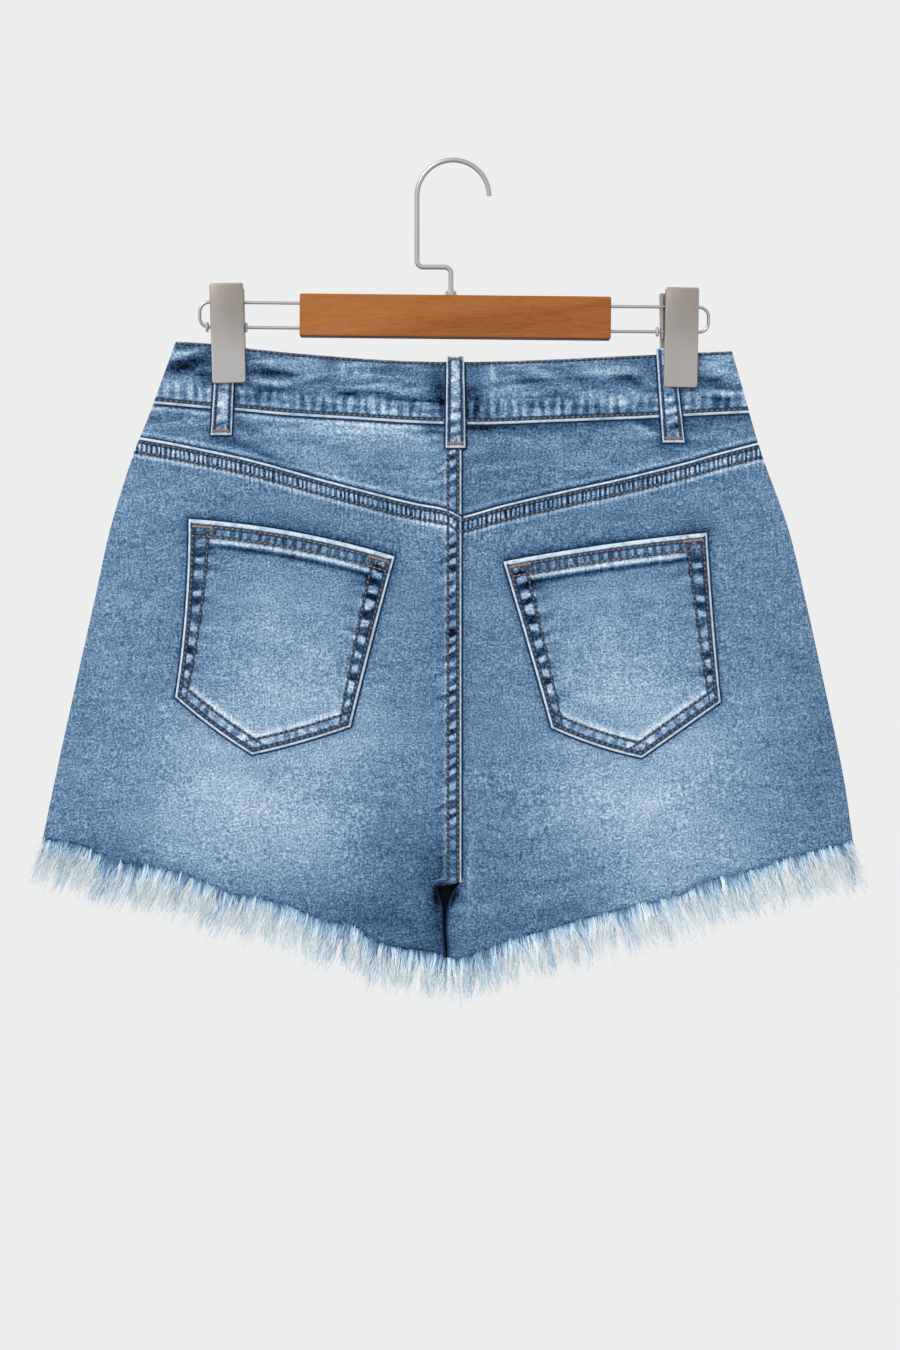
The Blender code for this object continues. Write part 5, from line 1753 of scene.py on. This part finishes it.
POCKET_SIZE = 140.0
for pocket in POCKETS.rows:
    name = pocket["name"]
    corners, curves = pocket_corners(pocket), pocket["curves"]
    place, point_at = pocket_place(corners, curves)
    across = spread(POCKET_SIZE, 2.6, (0, 16.0, 0.9), (POCKET_SIZE - 16.0, POCKET_SIZE, 0.9))
    across = np.unique(np.append(across, point_at))
    down = spread(POCKET_SIZE, 2.6, (0, 21.0, 0.9), (POCKET_SIZE - 15.5, POCKET_SIZE, 0.9))
    worn = pocket_worn(corners, curves)
    patch_pocket, face = cloth(
        name, place, across, down, BACK, POCKET_WALL, worn, lambda x, z: POCKET_LIFT, pale=0.03
    )
    panel = name.replace("pocket", "back") + "_cloth"
    middle = np.mean(corners, axis=0)
    rows = []
    for row, (top, low) in zip(POCKET_ROWS, ((POCKET_ROWS[0],) * 2, POCKET_SPLAY)):
        run = inset(corners, (POCKET_TOP_ROWS[0], low, row, row, low))
        run[:2] = inset(corners, (POCKET_TOP_ROWS[0], top, row, row, top))[:2]
        sides = [path_between(run[k], run[(k + 1) % 5], curves[k], middle) for k in (1, 2, 3, 4)]
        rows.append((np.concatenate(sides), "lock", TONE_POCKET))
    hem_rows = []
    for row in POCKET_TOP_ROWS:
        run = inset(corners, (row,) + (POCKET_ROWS[0],) * 4)
        hem_rows.append(path_between(run[0], run[1], curves[0], middle))
        rows.append((hem_rows[-1], "lock", TONE_POCKET_TOP))
    for end, step in ((0, 1), (-1, -1)):
        lines = [hem_row[end::step][:4] for hem_row in hem_rows]
        box = [line[0] + unit(line[-1] - line[0]) * POCKET_BOX for line in lines]
        rows += [((lines[0][0], box[0]), "tack", TONE_BOX_BAR), (box, "lock", TONE_BOX)]
    sew(f"sewing_{name}", face, *rows)

# ---- belt loops ----------------------------------------------------------------------------------------
# Narrow strips folded in three, stitched along both edges, and barred across at the top and the foot in
# orange thread. The centre one bows out a little, and the right one leans.

LOOP_WALL = 1.5
LOOP_CLEAR = 1.0  # this far below the waistband's seam a loop starts to lie back to the panel
LOOP_SETTLED = 6.0  # and here it lies on it
LOOP_ROW = 2.3
LOOP_SHALLOW = 0.45  # the small stitches hardly draw the cloth in
LOOP_TURNED = 6.0
LOOP_PERIOD = 9.0
LOOP_SHIFT = 3.1
LOOP_FOLDS = (0.6, 0.5, 1.0, 0.5)  # how broad the worn folds are: top, right, foot, left
LOOP_WIDTH = 13.0
LOOP_LENGTH = 64.0

# The loops are pale along their middle and gather into ripples where they were sewn taut, pale on their
# crests and with painted shade in their hollows.
LOOP_RIPPLES = Table(
    "x z turn length width shade lift",
    # centre
    (1.7, -154, 90, 20, 5.5, 0.12, 0.0),
    (3.0, -166.5, 20, 4.5, 1.6, -0.19, -0.15),
    (1.0, -170.0, 10, 4.0, 1.6, 0.12, 0.15),
    (3.4, -174.2, 20, 4.5, 1.7, -0.32, -0.2),
    (1.4, -178.8, 10, 4.0, 1.8, 0.19, 0.2),
    (2.0, -182.8, 15, 5.0, 1.5, -0.30, -0.2),
    (1.8, -187.0, 8, 4.0, 1.6, 0.18, 0.15),
    (1.8, -191.2, 5, 5.0, 1.4, -0.35, -0.1),
    # left
    (-161.0, -159.9, 0, 5.0, 1.6, -0.43, -0.15),
    (-161.3, -169.8, 90, 6.5, 3.8, 0.15, 0.1),
    (-161.6, -182.4, 0, 5.2, 2.1, -0.41, -0.15),
    # right
    (151.6, -162.8, 30, 4.5, 1.5, -0.43, -0.2),
    (152.5, -166.8, 25, 4.0, 1.5, 0.19, 0.2),
    (153.1, -170.4, 28, 4.8, 1.5, -0.41, -0.2),
    (153.6, -173.8, 25, 4.0, 1.4, 0.18, 0.2),
    (153.6, -177.0, 25, 4.8, 1.4, -0.32, -0.15),
    (154.0, -180.4, 22, 4.0, 1.4, 0.16, 0.15),
    (154.0, -185.4, 12, 5.5, 2.2, -0.43, -0.15),
    # front ones
    (-84.5, -162.0, 12, 4.5, 1.6, -0.27, -0.15),
    (-84.5, -167.0, 8, 4.0, 1.6, 0.14, 0.15),
    (-84.5, -176.5, -10, 4.8, 1.6, -0.30, -0.15),
    (84.5, -158.0, -10, 4.5, 1.6, -0.24, -0.15),
    (84.5, -171.0, 14, 4.0, 1.6, 0.14, 0.15),
    (84.5, -180.0, 10, 4.8, 1.8, -0.32, -0.15),
)
MARKS["loop"] = (LOOP_RIPPLES,)
LOOP_CLIPPED = -157.5  # under a clip's plate nothing is sewn above this height
LOOP_INSET = (2.2, LOOP_ROW, 3.0, LOOP_ROW)  # how far in its stitches are: top, right, foot, left
LOOP_BAR = 0.6  # and how far its bar tacks reach past the rows
TONE_LOOP = 0.05
TONE_LOOP_FOOT = 0.72
TONE_LOOP_HEAD = 0.5


def strip_place(corners):
    """A strip between four corners, as a function of shares across and down."""
    (x0, top), (x1, _), (x2, bottom), (x3, _) = corners
    return lambda u, v: (mix(mix(x0, x1, u), mix(x3, x2, u), v), mix(top, bottom, v))


loop_across = spread(LOOP_WIDTH, 1.1, (0, 2.0, 0.5), (LOOP_WIDTH - 2, LOOP_WIDTH, 0.5))
loop_down = spread(LOOP_LENGTH, 1.2, (0, 2.0, 0.5), (LOOP_LENGTH - 2, LOOP_LENGTH, 0.5))
for loop in LOOPS.rows:
    corners = loop_corners(loop)
    top, bottom = corners[0][1], corners[2][1]
    seam = float(waist_seam(loop["x_bottom"], loop["facing"]))

    def lift(x, z, loop=loop, top=top, bottom=bottom, seam=seam):
        low = PANEL_WALL + loop["foot"] + GAP
        settled = ease(seam - LOOP_CLEAR, seam - LOOP_SETTLED, z)
        bow = loop["bow"] * np.sin(math.pi * np.clip((top - z) / (top - bottom), 0.0, 1.0))
        return mix(WAISTBAND_WALL + PIPE_RISE + GAP, low, settled) + bow

    def worn(x, z, corners=corners):
        wear = fresh(x)
        for k, (distance, along) in enumerate(inward(corners, x, z)):
            rows = (LOOP_ROW,) if k % 2 == 1 else ()
            run = along / LOOP_PERIOD + LOOP_SHIFT * k
            fold(wear, distance, run, rows, LOOP_TURNED, pucker=0.5, broad=LOOP_FOLDS[k])
        wear["seam"] = wear["seam"] + LOOP_SHALLOW
        wear["bands"] = marked(x, z, "loop", "shade")
        wear["level"] = wear["level"] + marked(x, z, "loop", "lift").clip(0.0)
        return wear

    name, facing = loop["name"], loop["facing"]
    place = strip_place(corners)
    strip, face = cloth(
        name, place, loop_across, loop_down, facing, LOOP_WALL, worn, lift, mottle=0.18, pale=0.19
    )
    band = "waistband_back_cloth" if facing == BACK else f"waistband_{name[5:]}_cloth"
    head_left, head_right, foot_right, foot_left = np.array(inset(corners, LOOP_INSET))
    bar = np.array((LOOP_BAR, 0.0))
    near_clip = [abs(head_left[0] - clip["x"]) < CLIP_FLAT for clip in CLIPS.rows]
    clipped = facing == BACK and any(near_clip)
    if clipped:
        share = (head_left[1] - LOOP_CLIPPED) / (head_left[1] - foot_left[1])
        head_left, head_right = mix(head_left, foot_left, share), mix(head_right, foot_right, share)
    rows = [
        ((head_left, foot_left), "fine", TONE_LOOP),
        ((head_right, foot_right), "fine", TONE_LOOP),
        ((foot_left - bar, foot_right + bar), "tack", TONE_LOOP_FOOT),
    ]
    if not clipped:
        rows.append(((head_left - bar, head_right + bar), "tack", TONE_LOOP_HEAD))
    sew(f"sewing_{name}", face, *rows)

# ---- frayed hem ----------------------------------------------------------------------------------------
# The panels are cut off raw and their cross threads pulled out, so the long threads hang free: near
# white, blue where they leave the cloth, crimped by the weave, and caught together in clumps.

FRINGE = Table(
    "share reach lean",
    (0.00, 30.0, 11.5),
    (0.20, 28.5, 10.0),
    (0.45, 28.0, 9.0),
    (0.70, 28.5, 7.0),
    (0.90, 27.0, 4.0),
    (1.00, 27.5, 2.0),
)
FRAY_DEEP = (0.110, 0.215, 0.380)
FRAY_BLUE = (0.340, 0.560, 0.780)
FRAY_PALE = (0.690, 0.880, 0.985)
FRAY_WHITE = (0.940, 0.990, 1.000)
RINGS = 13  # points along a thread
CLUMP_PITCH = 3.4
ROOT_RISE = 3.4  # how far above the hem the highest threads start
THREAD_LENGTHS = (0.45, 0.94, 1.26)  # the shortest, the usual and the longest, as shares of the reach
THREAD_RADII = (0.22, 0.44)
THREAD_TAPER = 0.72
SHORT_THREADS = 0.16  # this share broke off short
STRAY_THREADS = 0.03  # this one is long and stands out of its clump
BLUE_THREADS = 0.14  # and this one is blue all the way down
BLUE_TINT = (-0.35, 0.0)
WHITE_TINT = (0.05, 0.62)
CLUMP_TINT = (-0.42, 0.30)
CLUMP_SHADE = 0.25  # the painted shade in between the clumps

fray = Finish("frayed cotton yarn", roughness=0.95, specular_ior_level=0.1, sheen_weight=0.3)
ply = fray.spots(0.5, 0.5, 0.8, detail=1)
fallen = fray.mark("down")
whiteness = fray.mark("tint") + fallen.soft(-0.05, 0.6) * 0.70 - fallen.soft(0.10, 0.0) * 0.25
whiteness = whiteness + (ply - 0.5) * 0.3
fray.feed(
    base_color=fray.shade(
        whiteness, (0.0, FRAY_DEEP), (0.3, FRAY_BLUE), (0.6, FRAY_PALE), (1.0, FRAY_WHITE)
    ),
    normal=fray.bump(ply, 0.1, 0.5),
)


def tubes(centre, radius, facing):
    """Thin tubes with three sides and closed ends along rows of points, as their points and faces."""
    turns = np.radians((90, 210, 330))
    ring = np.stack((np.cos(turns), np.sin(turns) * facing, 0 * turns), axis=-1)
    points = (centre[:, :, None] + radius[..., None, None] * ring).reshape(-1, 3)
    first = np.arange(len(points) // 3).reshape(-1, RINGS)[:, :-1].ravel() * 3
    faces = []
    for k in range(3):
        n = (k + 1) % 3
        faces.append(np.stack((first + k, first + n, first + 3 + n, first + 3 + k), axis=-1))
    top = np.arange(len(centre)) * RINGS * 3
    last = top + (RINGS - 1) * 3
    caps = [np.stack((top + 2, top + 1, top), axis=-1), np.stack((last, last + 1, last + 2), axis=-1)]
    return points, np.concatenate(faces).tolist() + np.concatenate(caps).tolist()


def frayed(name, place, facing, outward, count, seed, pale):
    """The threads of one panel's hem as one piece, which lean outward and gather into clumps."""
    chance = np.random.default_rng(seed)
    ends = [place(u, 1.0)[0] for u in (0.0, 1.0)]
    share = np.sort(chance.uniform(0.0, 1.0, count))
    hem_x, hem_z = place(share, 1.0)
    clump_count = round(abs(ends[1] - ends[0]) / CLUMP_PITCH)
    widths = chance.uniform(0.4, 1.6, clump_count)
    borders = np.cumsum(widths) / widths.sum()
    clump = np.minimum(np.searchsorted(borders, share), clump_count - 1)
    within = (borders[clump] - share) / (widths / widths.sum())[clump]
    clump_share = borders - widths / widths.sum() * chance.uniform(0.3, 0.7, clump_count)
    clump_x = place(clump_share, 1.0)[0]
    pull = chance.uniform(0.35, 0.9, clump_count)
    clump_lean = chance.normal(0, 2.0, clump_count)
    clump_out = chance.uniform(0.0, 2.8, clump_count)
    clump_rise = chance.uniform(0.0, 1.0, clump_count) ** 1.5
    clump_wave = chance.uniform(0, 2 * math.pi, clump_count)
    clump_pace = chance.uniform(5.0, 10.0, clump_count)
    clump_swing = chance.uniform(0.5, 1.7, clump_count)
    clump_tint = chance.uniform(*CLUMP_TINT, clump_count)

    reach = FRINGE.smooth(share, "reach") * chance.triangular(*THREAD_LENGTHS, count)
    short = chance.random(count) < SHORT_THREADS
    reach = np.where(short, reach * chance.uniform(0.25, 0.75, count), reach)
    stray = chance.random(count) < STRAY_THREADS
    reach = np.where(stray, reach * chance.uniform(1.05, 1.25, count), reach)
    rise = chance.uniform(0.2, ROOT_RISE, count) * clump_rise[clump]
    rise = np.where(chance.random(count) < 0.5, rise, 0.0)
    depth = np.where(rise > 0, PANEL_WALL + 0.25, chance.uniform(0.15, PANEL_WALL - 0.1, count))
    lean = outward * FRINGE.smooth(share, "lean") + clump_lean[clump] + chance.normal(0, 1.3, count)
    lean = lean + np.where(stray, chance.normal(0, 4.0, count), 0.0)
    radius = chance.uniform(*THREAD_RADII, count)
    wave = [chance.uniform(0, 2 * math.pi, count) for _ in range(2)]
    pace = chance.uniform(2.4, 5.4, count)
    swing = chance.uniform(0.3, 1.1, count)

    down = np.linspace(0.0, 1.0, RINGS)[None, :]
    x = hem_x[:, None] + lean[:, None] * down**1.3
    x = x + ((clump_x[clump] - hem_x) * pull[clump])[:, None] * down**0.9
    x = x + (swing[:, None] * np.sin(wave[0][:, None] + pace[:, None] * 2.4 * down) * down**0.5)
    bend = clump_wave[clump][:, None] + clump_pace[clump][:, None] * down
    x = x + clump_swing[clump][:, None] * np.sin(bend) * down**0.7
    start = hem_z + rise
    z = start[:, None] - (reach + rise)[:, None] * down
    out = depth[:, None] + (clump_out[clump] * chance.uniform(0.3, 1.0, count))[:, None] * down
    out = out + 0.4 * swing[:, None] * np.sin(wave[1][:, None] + pace[:, None] * 2.0 * down) * down
    y = form(hem_x[:, None] + 0 * down, np.maximum(z, hem_z[:, None]), facing) + out
    centre = np.stack((x, facing * np.maximum(y, 0.3), z), axis=-1)

    points, faces = tubes(centre, radius[:, None] * (1 - THREAD_TAPER * down), facing)

    blue = chance.random(count) < BLUE_THREADS
    tint = np.where(blue, chance.uniform(*BLUE_TINT, count), chance.uniform(*WHITE_TINT, count))
    # painted shade on the threads at the edges of each clump
    tint = tint + pale + clump_tint[clump] - CLUMP_SHADE * abs(2 * within - 1) ** 3
    marks = {"tint": tint[:, None, None], "down": down[..., None]}
    marks = {mark: np.broadcast_to(values, (count, RINGS, 3)) for mark, values in marks.items()}
    joined(f"{name}_threads", points, faces, marks, fray, "fray", name)


for panel, facing, outward, count, seed, pale in (
    ("back_left", BACK, -1, 2300, 11, 0.0),
    ("back_right", BACK, 1, 2300, 12, 0.09),
    ("front_left", FRONT, -1, 1300, 13, 0.0),
    ("front_right", FRONT, 1, 1300, 14, 0.0),
):
    frayed(f"fringe_{panel}", fringe_roots[panel], facing, outward, count, seed, pale)

# ---- waist button --------------------------------------------------------------------------------------
# A plain metal tack button of dark copper, brighter in patches. Its buttonhole is worked in thread on the
# left half of the front waistband.

COPPER_DARK = (0.150, 0.070, 0.035)
COPPER_BRIGHT = (0.560, 0.330, 0.190)
BUTTON_X = -11.5
BUTTONHOLE = (-17.4, -27.0)
BUTTONHOLE_HALF = 1.5
BUTTONHOLE_BAR = 2.0
TONE_BUTTONHOLE = 0.30

copper = Finish("antique copper", metallic=1.0, roughness=0.4)
tarnish_and_painted_shade = copper.spots(4, 4, 4, detail=4)
copper.feed(
    base_color=copper.shade(tarnish_and_painted_shade, (0.3, COPPER_DARK), (0.7, COPPER_BRIGHT)),
    roughness=0.30 + tarnish_and_painted_shade * 0.25,
    normal=copper.bump(tarnish_and_painted_shade, 0.05, 0.4),
)
give(copper, "waist_button")

hole_z = float(waist_top(BUTTON_X, FRONT) + waist_seam(BUTTON_X, FRONT)) / 2
paths = [[(x, hole_z + k) for x in BUTTONHOLE] for k in (-BUTTONHOLE_HALF, BUTTONHOLE_HALF)]
paths.append(upright(BUTTONHOLE[1], (hole_z - BUTTONHOLE_BAR, hole_z + BUTTONHOLE_BAR)))
sew("sewing_buttonhole", left_face, *((path, "tack", TONE_BUTTONHOLE) for path in paths))

# ---- studio --------------------------------------------------------------------------------------------
# A plain pale room: the same soft light from all round, and a broad soft lamp high at the camera's left.

FLOOR_Z = -1.6
ROOM = 60.0
PAPER = (0.745, 0.745, 0.748)
SKY = (0.850, 0.852, 0.856)
KEY_FROM = (-0.45, -0.65, 0.60)
KEY_SPREAD = 24.0
KEY_STRENGTH = 1.5
VIEW_CENTRE = (-0.0021, -0.35875)
VIEW_DISTANCE = 2.4
VIEW_HEIGHT = 0.945

scene = bpy.context.scene
scene.view_settings.view_transform = "Standard"
scene.world = bpy.data.worlds.new("room")
scene.world.use_nodes = True
scene.world.node_tree.nodes["Background"].inputs["Color"].default_value = (*SKY, 1.0)

bpy.ops.mesh.primitive_plane_add(size=ROOM, location=(0, 0, FLOOR_Z))
floor = bpy.context.object
floor.name = "floor"
paper = Finish("matt paper", roughness=1.0, specular_ior_level=0.0)
mottle = paper.spots(900, 900, 900, detail=1)
paper.feed(base_color=paper.shade(mottle, (0.0, PAPER), (1.0, PAPER)))
floor.data.materials.append(paper.material)

bpy.ops.object.light_add(type="SUN", location=Vector(KEY_FROM) * 3)
key = bpy.context.object
key.name = "key"
key.data.angle = math.radians(KEY_SPREAD)
key.data.energy = KEY_STRENGTH
key.rotation_euler = (-Vector(KEY_FROM)).to_track_quat("-Z", "Y").to_euler()

bpy.ops.object.camera_add(
    location=(VIEW_CENTRE[0], -VIEW_DISTANCE, VIEW_CENTRE[1]), rotation=(math.pi / 2, 0, 0)
)
camera = bpy.context.object
camera.data.sensor_fit = "VERTICAL"
camera.data.sensor_height = 36.0
camera.data.lens = 36.0 * VIEW_DISTANCE / VIEW_HEIGHT
scene.camera = camera
